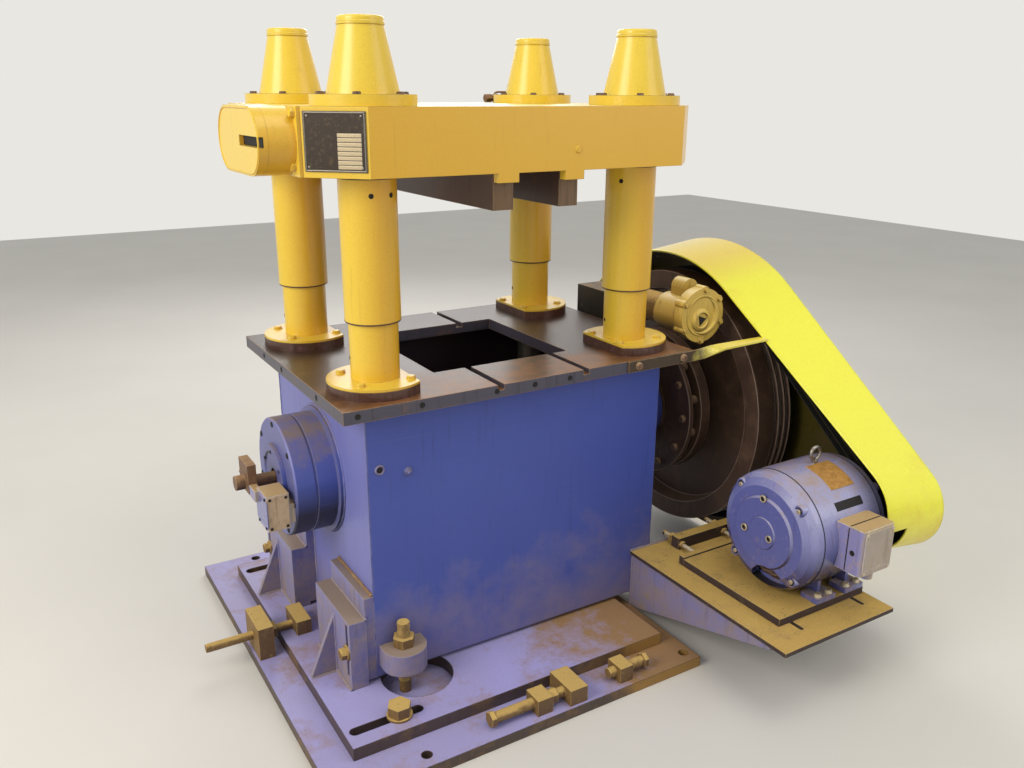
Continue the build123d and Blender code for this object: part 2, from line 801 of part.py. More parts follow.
def conduit_box():
    """The wiring box on the barrel's front, a neck to the barrel and a gland under it."""
    (x0, x1), (y0, y1), (z0, z1) = (motor_x0 + x for x in conduit_x), conduit_y, conduit_z
    box = block(x0, x1, y0, y1, z0, z1)
    box = fillet(box.edges().filter_by(Axis.Z).group_by(Axis.Y)[0], conduit_round)
    box += block(x0 + conduit_neck_in, x1 - conduit_neck_in / 2, y1, motor_y, z0 + 2 * conduit_neck_in, z1)
    box += rod_z(x1 - 2 * conduit_gland_r, (y0 + y1) / 2, z0 - conduit_gland_l, z0, conduit_gland_r)
    return box - rod_x(x0 - 1, x1 + 1, motor_y, motor_z, motor_r + seat_gap)


def eyebolt():
    x, z0 = motor_x0 + eye_x, motor_z + motor_r
    ring = Pos(x, motor_y, z0 + eye_stem_h + eye_r) * Rot(90, 0, 0) * Torus(eye_r, eye_wire_r)
    stem = rod_z(x, motor_y, z0 - 1, z0 + eye_stem_h, eye_stem_r)
    return ring + stem - rod_x(motor_x0, motor_x1, motor_y, motor_z, motor_r + seat_gap)


def motor_shelf():
    plate = block(shelf_x0, shelf_x1, shelf_front, -half_y, shelf_top - shelf_t, shelf_top)
    for x in shelf_slot_x:
        y0, y1 = shelf_slot_y
        cut = extrude(Rot(0, 0, 90) * SlotOverall(y1 - y0, shelf_slot_w), shelf_t + 2)
        plate -= Pos(motor_x0 + x, (y0 + y1) / 2, shelf_top - shelf_t - 1) * cut
    return plate


def shelf_gussets():
    """Two tapered plates under the shelf and the cross plate between them, fixed to the body's front."""
    z1 = shelf_top - shelf_t
    z0 = z1 - gusset_h
    tip = shelf_front + gusset_tip
    corners_yz = [(-half_y, z0), (-half_y, z1), (tip, z1), (tip, z1 - gusset_tip_h)]
    side = make_face(Polyline(corners_yz, close=True))
    x0, x1 = shelf_x0 + gusset_inset, shelf_x1 - gusset_inset
    plates = [extrude(Plane.YZ.offset(x) * side, gusset_t) for x in (x0, x1 - gusset_t)]
    return plates + [block(x0 + gusset_t, x1 - gusset_t, -half_y - gusset_t, -half_y, z0, z1)]


def slide_base():
    """The plate under the motor and the upright strip along its back edge."""
    plate = block(base_x0, base_x1, base_front, base_back, shelf_top, shelf_top + base_t)
    strip = block(base_x0, base_x1, base_back, base_back + base_strip_w, shelf_top, shelf_top + base_strip_h)
    return [plate, strip]


def tension_rail():
    """The cross bar behind the motor's base plate and its two screws."""
    z0 = shelf_top
    parts = [block(motor_x0, base_x1, rail_y[0], rail_y[1], z0, z0 + tension_rail_h)]
    z = z0 + tension_rail_h * 0.6
    for stud_x in tension_stud_x:
        x = motor_x0 + stud_x
        parts.append(rod_y(x, rail_y[1], tension_stud_end, z, tension_stud_r))
        parts.append(rod_y(x, base_back + base_strip_w, rail_y[0], z - 6, tension_stud_r - 2))
    return parts


# belts and guard

def tangent_angle(r_big, r_small, dy, dz):
    """Angle of the outer tangent's contact point, seen from the big circle's centre."""
    dist = sqrt(dy * dy + dz * dz)
    return atan2(dz, dy) - acos((r_big - r_small) / dist), atan2(dz, dy) + acos((r_big - r_small) / dist)


def belt_loop(r_big, r_small, y_small, z_small):
    """Closed outline of a belt round the flywheel and a smaller circle, in the YZ plane."""
    dy, dz = y_small, z_small - crank_z
    a0, a1 = tangent_angle(r_big, r_small, dy, dz)
    def at(r, a, y, z):
        return (y + r * cos(a), z + r * sin(a))
    big0, big1 = at(r_big, a0, 0, crank_z), at(r_big, a1, 0, crank_z)
    small0, small1 = at(r_small, a0, y_small, z_small), at(r_small, a1, y_small, z_small)
    far_big = at(r_big, (a0 + a1) / 2 + pi, 0, crank_z)
    far_small = at(r_small, (a0 + a1) / 2, y_small, z_small)
    return big0, big1, small0, small1, far_big, far_small


def belt_wire(r_big, r_small, y_small, z_small):
    big0, big1, small0, small1, far_big, far_small = belt_loop(r_big, r_small, y_small, z_small)
    edges = [ThreePointArc(big0, far_big, big1), Line(big1, small1),
             ThreePointArc(small1, far_small, small0), Line(small0, big0)]
    return make_face(edges)


def belts():
    first = belt_mid - belt_pitch * (belt_count - 1) / 2
    loops = []
    outer = belt_wire(fly_r + belt_rise, pulley_r + belt_rise, motor_y, motor_z)
    inner = belt_wire(fly_r + run_gap, pulley_r + run_gap, motor_y, motor_z)
    for i in range(belt_count):
        x = first + belt_pitch * i - belt_w / 2
        loops.append(extrude(Plane.YZ.offset(x) * (outer - inner), belt_w))
    return loops


def guard_face(x, grow):
    """The guard's side shape at this X: a round over the flywheel, a slope and a round at the motor."""
    share = (x - guard_x0) / (guard_x1 - guard_x0)
    y, z, r = (near + (far - near) * share for near, far in zip(guard_near, guard_far))
    return Plane.YZ.offset(x) * belt_wire(guard_r + guard_flare * share + grow, r + grow, y, z)


def guard_side():
    """The flat sheet that closes the guard's far side."""
    return extrude(guard_face(guard_x1, 0), guard_t)


def guard_band():
    """The rolled sheet over the flywheel and down round the motor's pulley, open underneath."""
    band = loft([guard_face(guard_x0, 0), guard_face(guard_x1, 0)])
    band -= loft([guard_face(guard_x0, -guard_t), guard_face(guard_x1, -guard_t)])
    wide = 3 * guard_r
    band -= block(guard_x0 - 1, guard_x1 + 1, guard_curl_end, wide, -wide, guard_foot)
    return band - block(guard_x0 - 1, motor_x1 + move_gap, -wide, wide, -wide, guard_foot)


def slope_y(z):
    """Where the guard's slope lies at this height, on its near edge."""
    y_small, z_small, r_small = guard_near
    big0, big1, small0, small1, _, _ = belt_loop(guard_r, r_small, y_small, z_small)
    (ya, za), (yb, zb) = max((big0, small0), (big1, small1), key=lambda pair: pair[0][1])
    return ya + (yb - ya) * (z - za) / (zb - za)


def guard_strap():
    """The flat bar from the bed's front edge to the guard, turned from upright to flat on its way."""
    y0 = -bed_depth / 2 - strap_t / 2
    z0 = bed_top - strap_w / 2
    x_turn = bed_length / 2 + 2
    s, fall = strap_turn, (slope_y(bed_top + strap_rise) - y0) / 22
    stations = [(x_turn, y0, z0, 90), (x_turn + s, y0 + 3 * fall, z0 + s / 8, 60),
                (x_turn + 2 * s, y0 + 7 * fall, z0 + strap_w * 0.375, 30),
                (x_turn + 3 * s, y0 + 10 * fall, z0 + strap_w * 0.56, 12),
                (guard_x0, y0 + 22 * fall, bed_top + strap_rise, 0)]
    bar = Rectangle(strap_w, strap_t)
    cuts = [Plane.YZ.offset(x) * Pos(y, z) * Rot(0, 0, a) * bar for x, y, z, a in stations]
    flat = block(x_turn - strap_l, x_turn, y0 - strap_t / 2, y0 + strap_t / 2, bed_top - strap_w, bed_top)
    return flat + loft(cuts, ruled=True)


# adjusters and foot brackets

def foot_brackets():
    """Upright plates on the slide plate and pads on the body's left end, with a rib on each."""
    x1 = -half_x
    x0 = x1 - bracket_pad_t - bracket_t
    over = bracket_w - 8
    parts = []
    for side in (-1, 1):
        y0, y1 = sorted((side * (half_y + 8), side * (half_y + 8 - bracket_w)))
        upright = block(x0, x0 + bracket_t, y0, y1, plate_top, bracket_top)
        triangle = [(x0, plate_top), (x0 - bracket_rib_l, plate_top), (x0, bracket_top - bracket_rib_drop)]
        rib = make_face(Polyline(triangle, close=True))
        rib_y = side * bracket_rib_y + bracket_rib_t / 2
        upright += Pos(0, rib_y, 0) * extrude(Plane.XZ * rib, bracket_rib_t)
        slot_y = side * (half_y + 8 - bracket_slot_in)
        half = bracket_slot_w / 2
        upright -= block(x0 - 1, x0 + bracket_t + 1, slot_y - half, slot_y + half, *bracket_slot_z)
        p0, p1 = sorted((side * half_y, side * (half_y - over)))
        parts += [upright, block(x1 - bracket_pad_t, x1, p0, p1, body_foot, bracket_pad_top)]
    return parts


def side_adjuster():
    """The horizontal screw at the left, from a lug on the sole plate to a block on the slide plate."""
    y, z = side_screw_y, side_screw_z
    lug_x = [sole_left + x for x in side_lug_x]
    stop_x = [slide_left + x for x in side_stop_x]
    lug = block(*lug_x, *side_lug_y, sole_t, side_lug_top)
    lug -= rod_x(lug_x[0] - 1, lug_x[1] + 1, y, z, side_screw_r + seat_gap)
    stop = block(*stop_x, *side_stop_y, plate_top, side_stop_top)
    screw = rod_x(sole_left - side_screw_out, stop_x[0], y, z, side_screw_r)
    return [lug, stop, screw + hex_x(lug_x[1], lug_x[1] + side_nut_h, y, z, side_nut)]


def front_adjuster():
    """Two screws along the front edge with their lugs and the stop of the slide plate between them."""
    y, z, r = slide_front - front_screw_out, front_screw_z, front_screw_r
    parts = []
    for x0, x1 in (front_lug_x, front_end_x):
        lug = block(x0, x1, y - front_lug_half, y + front_lug_half, sole_t, front_lug_top)
        parts.append(lug - rod_x(x0 - 1, x1 + 1, y, z, r + seat_gap))
    parts.append(block(*front_stop_x, slide_front - front_stop_out, slide_front, sole_t, front_lug_top))
    x0, x1 = front_screw_x
    screw = rod_x(x0, front_stop_x[0], y, z, r) + hex_x(x0 - front_head_l, x0, y, z, front_nut)
    parts.append(screw + hex_x(x1, x1 + front_nut_h, y, z, front_nut))
    x0, x1 = front_end_screw_x
    parts.append(rod_x(x0, x1, y, z, r) + hex_x(x1, x1 + front_head_l, y, z, front_nut))
    return parts


# air valve

def air_valve():
    """Round cast valve facing forwards, with an ear on top of its body."""
    face_back = valve_front + valve_face_t
    valve = rod_y(valve_x, valve_front, face_back, valve_z, valve_r)
    for angle in valve_lobe_at:
        a, r = angle * pi / 180, valve_r - valve_lobe_r / 2
        valve += rod_y(valve_x + r * cos(a), valve_front, face_back, valve_z + r * sin(a), valve_lobe_r)
    valve += rod_y(air_pipe_x, face_back, valve_back, air_pipe_z, valve_body_r)
    ear_z = valve_z + valve_ear_rise
    mid = (face_back + valve_back) / 2
    valve += rod_y(valve_x, mid - valve_ear_r, mid + valve_ear_r, ear_z, valve_ear_r)
    return valve + block(valve_x - valve_ear_r, valve_x + valve_ear_r, mid - valve_ear_r, mid + valve_ear_r,
                         air_pipe_z, ear_z)


def air_pipe():
    """The wide threaded nipple behind the valve and the thinner pipe into the box."""
    nipple = rod_y(air_pipe_x, valve_back, air_pipe_step, air_pipe_z, air_pipe_r)
    return nipple + rod_y(air_pipe_x, air_pipe_step, air_box_y[0], air_pipe_z - 5, air_pipe_thin_r)


def air_box():
    """The black closed box behind the front right post, on an angle fixed to the bed's end."""
    edge = bed_length / 2
    (x0, x1), (y0, y1), (z0, z1) = (edge + x for x in air_box_off), air_box_y, air_box_z
    box = block(x0, x1, y0, y1, z0, z1)
    y2, y3 = y0 + air_arm_in, y1 - air_arm_in
    arm = block(edge, x0 + 3 * air_shelf_t, y2, y3, z0 - air_shelf_t, z0)
    return box + arm + block(edge, edge + air_shelf_t, y2, y3, body_top, z0)


def main():
    for node, shape in body_walls().items():
        save(node, shape)
    singles = {"sole_plate": sole_plate, "slide_plate": slide_plate, "bed_plate": bed_plate, "platen": platen,
               "end_housing": end_housing, "end_cap": end_cap, "name_plate": name_plate,
               "crank_housing": crank_housing, "housing_cap": housing_cap, "right_housing": right_housing,
               "crank_shaft": crank_shaft, "rotary_coupling": rotary_coupling, "switch_box": switch_box,
               "flywheel": flywheel, "clutch_disc": clutch_disc, "motor_barrel": motor_barrel,
               "motor_rotor": motor_rotor, "conduit_box": conduit_box, "eyebolt": eyebolt,
               "motor_shelf": motor_shelf, "guard_side": guard_side, "guard_band": guard_band,
               "guard_strap": guard_strap, "air_valve": air_valve, "air_pipe": air_pipe, "air_box": air_box}
    for node, make in singles.items():
        save(node, make())
    groups = {"jack_lugs": jack_lugs, "jack_screws": jack_screws, "clamp_bolts": clamp_bolts,
              "seal_rings": seal_rings, "guide_bushes": guide_bushes, "guide_posts": guide_posts,
              "die_rails": die_rails, "motor_bells": motor_bells, "belts": belts,
              "shelf_gussets": shelf_gussets, "slide_base": slide_base, "tension_rail": tension_rail,
              "foot_brackets": foot_brackets, "side_adjuster": side_adjuster,
              "front_adjuster": front_adjuster}
    for node, make in groups.items():
        save_group(node, make())
    for name, (sx, sy) in corners.items():
        x, y = sx * post_x, sy * post_y
        save("lower_sleeve_" + name, lower_sleeve(x, y))
        save("upper_sleeve_" + name, upper_sleeve(x, y))
        save("cone_cap_" + name, cone_cap(x, y))


main()
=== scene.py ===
import bpy
import bmesh
import json
import math
import numpy as np
from functools import partial
from mathutils import Matrix


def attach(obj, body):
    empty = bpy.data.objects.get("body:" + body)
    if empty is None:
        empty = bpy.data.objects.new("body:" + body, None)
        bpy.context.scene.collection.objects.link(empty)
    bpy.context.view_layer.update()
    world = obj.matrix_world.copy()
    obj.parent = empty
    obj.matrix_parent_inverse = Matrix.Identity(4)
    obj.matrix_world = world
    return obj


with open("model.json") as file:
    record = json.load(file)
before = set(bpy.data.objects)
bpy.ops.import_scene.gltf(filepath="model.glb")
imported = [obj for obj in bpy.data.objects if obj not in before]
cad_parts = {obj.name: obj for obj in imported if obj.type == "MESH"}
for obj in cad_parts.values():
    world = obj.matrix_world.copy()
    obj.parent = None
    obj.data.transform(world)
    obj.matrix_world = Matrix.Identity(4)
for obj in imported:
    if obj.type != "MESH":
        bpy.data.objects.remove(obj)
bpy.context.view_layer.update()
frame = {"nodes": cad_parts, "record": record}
nodes = frame["nodes"]
mm = 0.001
print("stage: frame loaded,", len(nodes), "nodes")

# camera for a 1024 by 768 picture, at eye height, looking down on the machine's front left
view = dict(
    place=(-1.210, -2.259, 1.550), yaw=31.33, pitch=-17.91, roll=0.305, focalPixels=897.4, pictureWidth=1024,
    sensor=36.0, reach=60)


def placeCamera(v):
    yaw, pitch, roll = (math.radians(v[k]) for k in ("yaw", "pitch", "roll"))
    forward = np.array([math.sin(yaw) * math.cos(pitch), math.cos(yaw) * math.cos(pitch), math.sin(pitch)])
    level = np.array([math.cos(yaw), -math.sin(yaw), 0.0])
    up = np.cross(level, forward)
    turn = np.eye(4)
    turn[:3, 0] = math.cos(roll) * level + math.sin(roll) * up
    turn[:3, 1] = -math.sin(roll) * level + math.cos(roll) * up
    turn[:3, 2], turn[:3, 3] = -forward, v["place"]
    data = bpy.data.cameras.new("pictureCamera")
    data.sensor_width = v["sensor"]
    data.lens = v["focalPixels"] / v["pictureWidth"] * v["sensor"]
    data.clip_end = v["reach"]
    camera = bpy.data.objects.new("pictureCamera", data)
    bpy.context.scene.collection.objects.link(camera)
    camera.matrix_world = Matrix(turn.tolist())
    bpy.context.scene.camera = camera


placeCamera(view)


def toLinear(hexColour):
    c = np.array([int(hexColour[i:i + 2], 16) for i in (1, 3, 5)]) / 255
    c = np.where(c <= 0.04045, c / 12.92, ((c + 0.055) / 1.055) ** 2.4)
    return (*c.tolist(), 1.0)


# adds one node: settings are its own properties; inputs, by name or in order, each take a value, a hex colour,
# a socket, or a node, which stands for its first live output
def addNode(tree, kind, inputs=(), **settings):
    node = tree.nodes.new("ShaderNode" + kind)
    for key, value in settings.items():
        setattr(node, key, value)
    if isinstance(inputs, dict):
        pairs = [(node.inputs[key], value) for key, value in inputs.items()]
    else:
        pairs = zip([socket for socket in node.inputs if socket.enabled], inputs)
    for socket, value in pairs:
        if isinstance(value, bpy.types.Node):
            value = next(live for live in value.outputs if live.enabled)
        if isinstance(value, bpy.types.NodeSocket):
            tree.links.new(value, socket)
        else:
            socket.default_value = toLinear(value) if isinstance(value, str) else value
    return node


def newMaterial(name):
    material = bpy.data.materials.new(name)
    material.use_nodes = True
    material.node_tree.nodes.clear()
    return material, partial(addNode, material.node_tree)


# faces between neighbours in a table of corner numbers
def gridFaces(i):
    return np.stack([i[:-1, :-1], i[1:, :-1], i[1:, 1:], i[:-1, 1:]], -1).reshape(-1, 4)


# soft studio light: a pale room, a large lamp high on the front left, a weaker one on the right; each lamp has its
# place, size, power and colour
studio = dict(
    room=0.5, roomColour="#ffffff", backdrop="#e9e7e2", floor="#d8d5ce", floorMottle="#e4e1da", floorHalf=9,
    floorCorners=25, aim=(0, 0, 0.7),
    lamps=dict(keyLamp=((-4.5, -0.9, 3.2), 2.6, 140, "#fff8ec"), fillLamp=((2.4, -3.2, 2.6), 2.2, 26, "#f6f7ff"),
               topLamp=((0.6, -1.4, 4.6), 2.4, 36, "#fffaf0"), backLamp=((1.5, 3.6, 3.2), 2.4, 60, "#ffffff")))


def buildStudio(s):
    world = bpy.data.worlds.new("studioRoom")
    bpy.context.scene.world = world
    world.use_nodes = True
    world.node_tree.nodes.clear()
    add = partial(addNode, world.node_tree)
    path = add("LightPath").outputs
    seen = add("Math", (path["Is Camera Ray"], path["Is Transmission Ray"]), operation="MAXIMUM")
    seen = add("Math", (seen, path["Is Glossy Ray"]), operation="MAXIMUM")
    lit = add("Background", {"Color": s["roomColour"], "Strength": s["room"]})
    shown = add("Background", {"Color": s["backdrop"], "Strength": 1.0})
    add("OutputWorld", {"Surface": add("MixShader", (seen, lit, shown))})
    for name, (place, size, power, colour) in s["lamps"].items():
        data = bpy.data.lights.new(name, "AREA")
        data.size, data.energy, data.color = size, power, toLinear(colour)[:3]
        lamp = bpy.data.objects.new(name, data)
        bpy.context.scene.collection.objects.link(lamp)
        aim = np.array(s["aim"]) - np.array(place)
        back = -aim / np.linalg.norm(aim)
        side = np.cross([0, 0, 1], back)
        side /= np.linalg.norm(side)
        turn = np.eye(4)
        turn[:3, 0], turn[:3, 1], turn[:3, 2], turn[:3, 3] = side, np.cross(back, side), back, place
        lamp.matrix_world = Matrix(turn.tolist())
    # floor: a flat grid at z = 0 with a pale matt finish
    n = s["floorCorners"]
    a = np.linspace(-s["floorHalf"], s["floorHalf"], n)
    x, y = np.meshgrid(a, a, indexing="ij")
    mesh = bpy.data.meshes.new("studioFloor")
    faces = gridFaces(np.arange(n * n).reshape(n, n))
    mesh.from_pydata(np.stack([x, y, 0 * x], -1).reshape(-1, 3).tolist(), [], faces.tolist())
    floor = bpy.data.objects.new("studioFloor", mesh)
    bpy.context.scene.collection.objects.link(floor)
    material, add = newMaterial("paleConcreteFloor")
    mottle = add("TexNoise", {"Vector": add("TexCoord").outputs["Object"], "Scale": 1.4, "Detail": 6.0})
    tint = add("Mix", (mottle, s["floor"], s["floorMottle"]), data_type="RGBA")
    add("OutputMaterial", {"Surface": add("BsdfPrincipled", {"Base Color": tint, "Roughness": 0.85})})
    mesh.materials.append(material)


buildStudio(studio)
bpy.context.scene.view_settings.view_transform = "Standard"
print("stage: camera, floor and lamps")

# Worn machine enamel: sprayed semi-gloss paint over steel. It gives a soft sheen, broad fading, a film of tan
# shop dust on whatever faces up, brown oil and rust runs on the sides, and rubbed edges where steel shows. It also
# paints light and shade: a paler tint on faces turned to the light, in some finishes a lighter colour on the top
# faces and pale edges as highlights, and a darker grime colour on faces that look down and inside hollows.
enamelWays = dict(
    fadeSize=320, blotchSize=60, gritSize=2.2, runWidth=14, runLength=260, edge=2.5, speckSize=9,   # millimetres
    fade="#5a68a6", dustAndLight="#a58a61", grimeAndShade="#3a2b20", bare="#6b5a48", speck="#33241a", sideBase=None,
    top=0.35, side=0.06, low=0.0, lowTop=0.1,      # dust, in some finishes painted top light, on top faces, on sides, and below the height lowTop
    drift=0.0, driftFrom=0.0, driftTo=1.0, driftAxis=0, driftTop=0.0,   # more dust from one place to another
    upFrom=0.35, upTo=0.9, dustAndLightEdge=(0.55, 0.95), cover=0.92,
    # under: painted shade, the grime colour laid on faces that look down
    runs=0.12, wear=0.45, scratch=0.12, specks=0.0, under=0.0, underFrom=0.1, underTo=-0.6,
    litTint="#ffffff", litShare=0.0, litFrom=(-0.8, -0.05, 0.6),        # painted light: a paler tint on faces turned towards this way
    inside=None, insideDirtAndShade="#241a14",             # middle of a hollow, and the dirt and painted shade on the faces round it
    rough=0.42, dustAndLightRough=0.85, coat=0.15, coatRough=0.2, bump=0.25, bumpDeep=0.8, metal=0.0)


def layeredFinish(name, changes):
    w = dict(enamelWays, **changes)
    material, add = newMaterial(name)
    coords = add("TexCoord").outputs
    place, normal = coords["Object"], coords["Normal"]
    fading = add("TexNoise", {"Vector": place, "Scale": 1000 / w["fadeSize"], "Detail": 3.0})
    blotch = add("TexNoise", {"Vector": place, "Scale": 1000 / w["blotchSize"], "Detail": 9.0, "Roughness": 0.68})
    grit = add("TexNoise", {"Vector": place, "Scale": 1000 / w["gritSize"], "Detail": 2.0})
    # runs: noise drawn out down the sides
    drawn = (1000 / w["runWidth"], 1000 / w["runWidth"], 1000 / w["runLength"])
    stretch = add("Mapping", {"Vector": place, "Scale": drawn})
    runs = add("TexNoise", {"Vector": stretch, "Scale": 1.0, "Detail": 5.0, "Roughness": 0.6})
    # scratches: thin slanting lines where drawn out noise is high
    rake = add("Mapping", {"Vector": place, "Rotation": (0.4, 0.7, 0.5), "Scale": (6.0, 300.0, 300.0)})
    rub = add("TexNoise", {"Vector": rake, "Scale": 1.0, "Detail": 2.0})
    scratch = add("MapRange", (rub, 0.66, 0.74, 0.0, w["scratch"]))
    # how far the face looks up
    facing = add("SeparateXYZ", (normal,)).outputs[2]
    upward = add("MapRange", (facing, w["upFrom"], w["upTo"], 0.0, 1.0))
    sideways = add("Math", (1.0, upward), operation="SUBTRACT")
    spot = add("SeparateXYZ", (place,)).outputs
    nearFloor = add("MapRange", (spot[2], w["lowTop"], 0.0, 0.0, w["low"]))
    # rounded edge normal, and how far it leaves the flat one
    soft = add("Bevel", {"Radius": w["edge"] * mm}, samples=4)
    along = add("VectorMath", (soft, add("NewGeometry").outputs["True Normal"]), operation="DOT_PRODUCT")
    corner = add("MapRange", (along, 0.995, 0.86, 0.0, 1.0))
    # rubbed edges in the bare colour; in some finishes these pale edges are painted highlights
    chip = add("Math", (corner, blotch), operation="MULTIPLY")
    wornAndEdgeLight = add("MapRange", (chip, 0.52 - 0.4 * w["wear"], 0.6 - 0.25 * w["wear"], 0.0, min(1.0, 2 * w["wear"])))
    wornAndEdgeLight = add("Math", (wornAndEdgeLight, scratch), operation="MAXIMUM")
    # dust and painted top light mask: blotches, thicker on top faces, near the floor and along a drift
    gathers = add("Math", (upward, w["top"], w["side"]), operation="MULTIPLY_ADD")
    gathers = add("Math", (gathers, nearFloor), operation="ADD")
    gathers = add("Math", (gathers, blotch), operation="ADD")
    drift = add("MapRange", (spot[w["driftAxis"]], w["driftFrom"], w["driftTo"], 0.0, w["drift"]))
    onTop = add("Math", (sideways, -w["driftTop"], 1.0), operation="MULTIPLY_ADD")
    gathers = add("Math", (onTop, drift, gathers), operation="MULTIPLY_ADD")
    dustAndLightMask = add("MapRange", (gathers, *w["dustAndLightEdge"], 0.0, w["cover"]))
    # oil and rust runs on the sides, and painted shade in the grime colour on faces that look down
    stainAndShade = add("MapRange", (runs, 0.62 - 0.35 * w["runs"], 0.78, 0.0, min(1.0, 3 * w["runs"])))
    stainAndShade = add("Math", (stainAndShade, sideways), operation="MULTIPLY")
    shadeBelow = add("MapRange", (facing, w["underFrom"], w["underTo"], 0.0, w["under"]))
    stainAndShade = add("Math", (stainAndShade, shadeBelow), operation="MAXIMUM")
    # colour, from the paint outwards: faded, painted lighter towards the light, stained and painted shade below,
    # dust and in some finishes painted top light, specked, rubbed bare with pale edges partly painted highlights
    # painted light: faces turned towards the light direction take a paler tint
    litSide = add("VectorMath", (normal, w["litFrom"]), operation="DOT_PRODUCT")
    litSide = add("MapRange", (litSide, 0.1, 0.85, 0.0, w["litShare"]))
    layers = [(litSide, w["litTint"]), (stainAndShade, w["grimeAndShade"]), (dustAndLightMask, w["dustAndLight"])]
    # faces that look sideways take sideBase: a second paint on some finishes, painted light and shade on the guard
    if w["sideBase"]:
        layers.insert(1, (sideways, w["sideBase"]))
    if w["specks"]:   # small dark rust specks, in drifts
        dots = add("TexNoise", {"Vector": place, "Scale": 1000 / w["speckSize"], "Detail": 1.0})
        dots = add("MapRange", (dots, 0.67, 0.75, 0.0, w["specks"]))
        drifts = add("MapRange", (blotch, 0.42, 0.6, 0.0, 1.0))
        layers.append((add("Math", (dots, drifts), operation="MULTIPLY"), w["speck"]))
    layers.append((wornAndEdgeLight, w["bare"]))
    if w["inside"]:   # dirt and painted shade on the inner faces: those whose normal points at the hollow's middle
        inward = add("VectorMath", (w["inside"], place), operation="SUBTRACT")
        inward = add("VectorMath", (normal, inward), operation="DOT_PRODUCT")
        layers.append((add("MapRange", (inward, 0.0, 0.004, 0.0, 0.96)), w["insideDirtAndShade"]))
    colour = add("Mix", (fading, w["base"], w["fade"]), data_type="RGBA")
    for share, tone in layers:
        colour = add("Mix", (share, colour, tone), data_type="RGBA")
    speck = add("MapRange", (grit, 0.2, 0.8, 0.88, 1.1))
    colour = add("VectorMath", (colour, speck), operation="SCALE")
    rough = add("MapRange", (dustAndLightMask, 0.0, 1.0, w["rough"], w["dustAndLightRough"]))
    rough = add("Math", (speck, rough), operation="MULTIPLY")
    relief = add("Math", (blotch, 0.6, grit), operation="MULTIPLY_ADD")
    relief = add("Bump", {"Height": relief, "Strength": w["bump"], "Distance": w["bumpDeep"] * mm, "Normal": soft})
    shader = add("BsdfPrincipled", {
        "Base Color": colour, "Roughness": rough, "Normal": relief, "Metallic": w["metal"], "Coat Weight": w["coat"],
        "Coat Roughness": w["coatRough"]})
    add("OutputMaterial", {"Surface": shader})
    return material


# blue enamel: the lit tint on faces towards the light is painted light, the grime colour on faces that look down is
# painted shade
blueWays = dict(base="#3d4ea2", fade="#485aac", dustAndLight="#94806c", grimeAndShade="#1f2030", bare="#8886aa", top=0.42, side=-0.06,
                runs=0.06, wear=0.42, edge=4.0, low=0.22, lowTop=0.33, rough=0.5, under=0.95, underFrom=-0.05,
                litTint="#8082c2", litShare=0.85)
# mustard enamel: the lemon dust colour on top faces and the lemon tint towards the light are painted light; faces that
# look down take painted shade
yellowWays = dict(base="#e4b02a", fade="#eab83a", dustAndLight="#efd24a", grimeAndShade="#8a5a20", bare="#7c6238", top=0.3, side=-0.1,
                  runs=0.08, wear=0.4, rough=0.33, dustAndLightRough=0.45, coat=0.3, bump=0.2, scratch=0.05, under=0.25,
                  litTint="#f4d442", litShare=0.9, specks=0.3, speckSize=5, speck="#a87a2a")
# guard enamel: the golden base on top faces and the lemon sideBase on the slope are painted light and shade
lemonWays = dict(base="#fbdc3e", sideBase="#fcf93c", fade="#fade44", dustAndLight="#deb03e", grimeAndShade="#8b7430", bare="#6b5a3a",
                 top=0.0, side=-0.08, runs=0.03, wear=0.35, rough=0.25, coat=0.4, bump=0.1, scratch=0.08, low=0.8,
                 lowTop=0.62, dustAndLightEdge=(0.5, 1.1), blotchSize=110, upFrom=0.86, upTo=0.97, specks=0.3, speckSize=5,
                 speck="#a08a30")
# motor enamel: the pale tint towards the light from above is painted light, the grime colour underneath is painted
# shade
motorWays = dict(base="#4a54a4", fade="#5963ae", dustAndLight="#a98c66", grimeAndShade="#1d1a36", bare="#5a4c40", top=0.22, side=-0.04,
                 low=0.3, lowTop=0.4, runs=0.12, wear=0.4, rough=0.26, coat=0.5, bump=0.3, blotchSize=45, under=1.0,
                 litTint="#a9a8cc", litShare=0.85, litFrom=(-0.25, -0.4, 0.88))
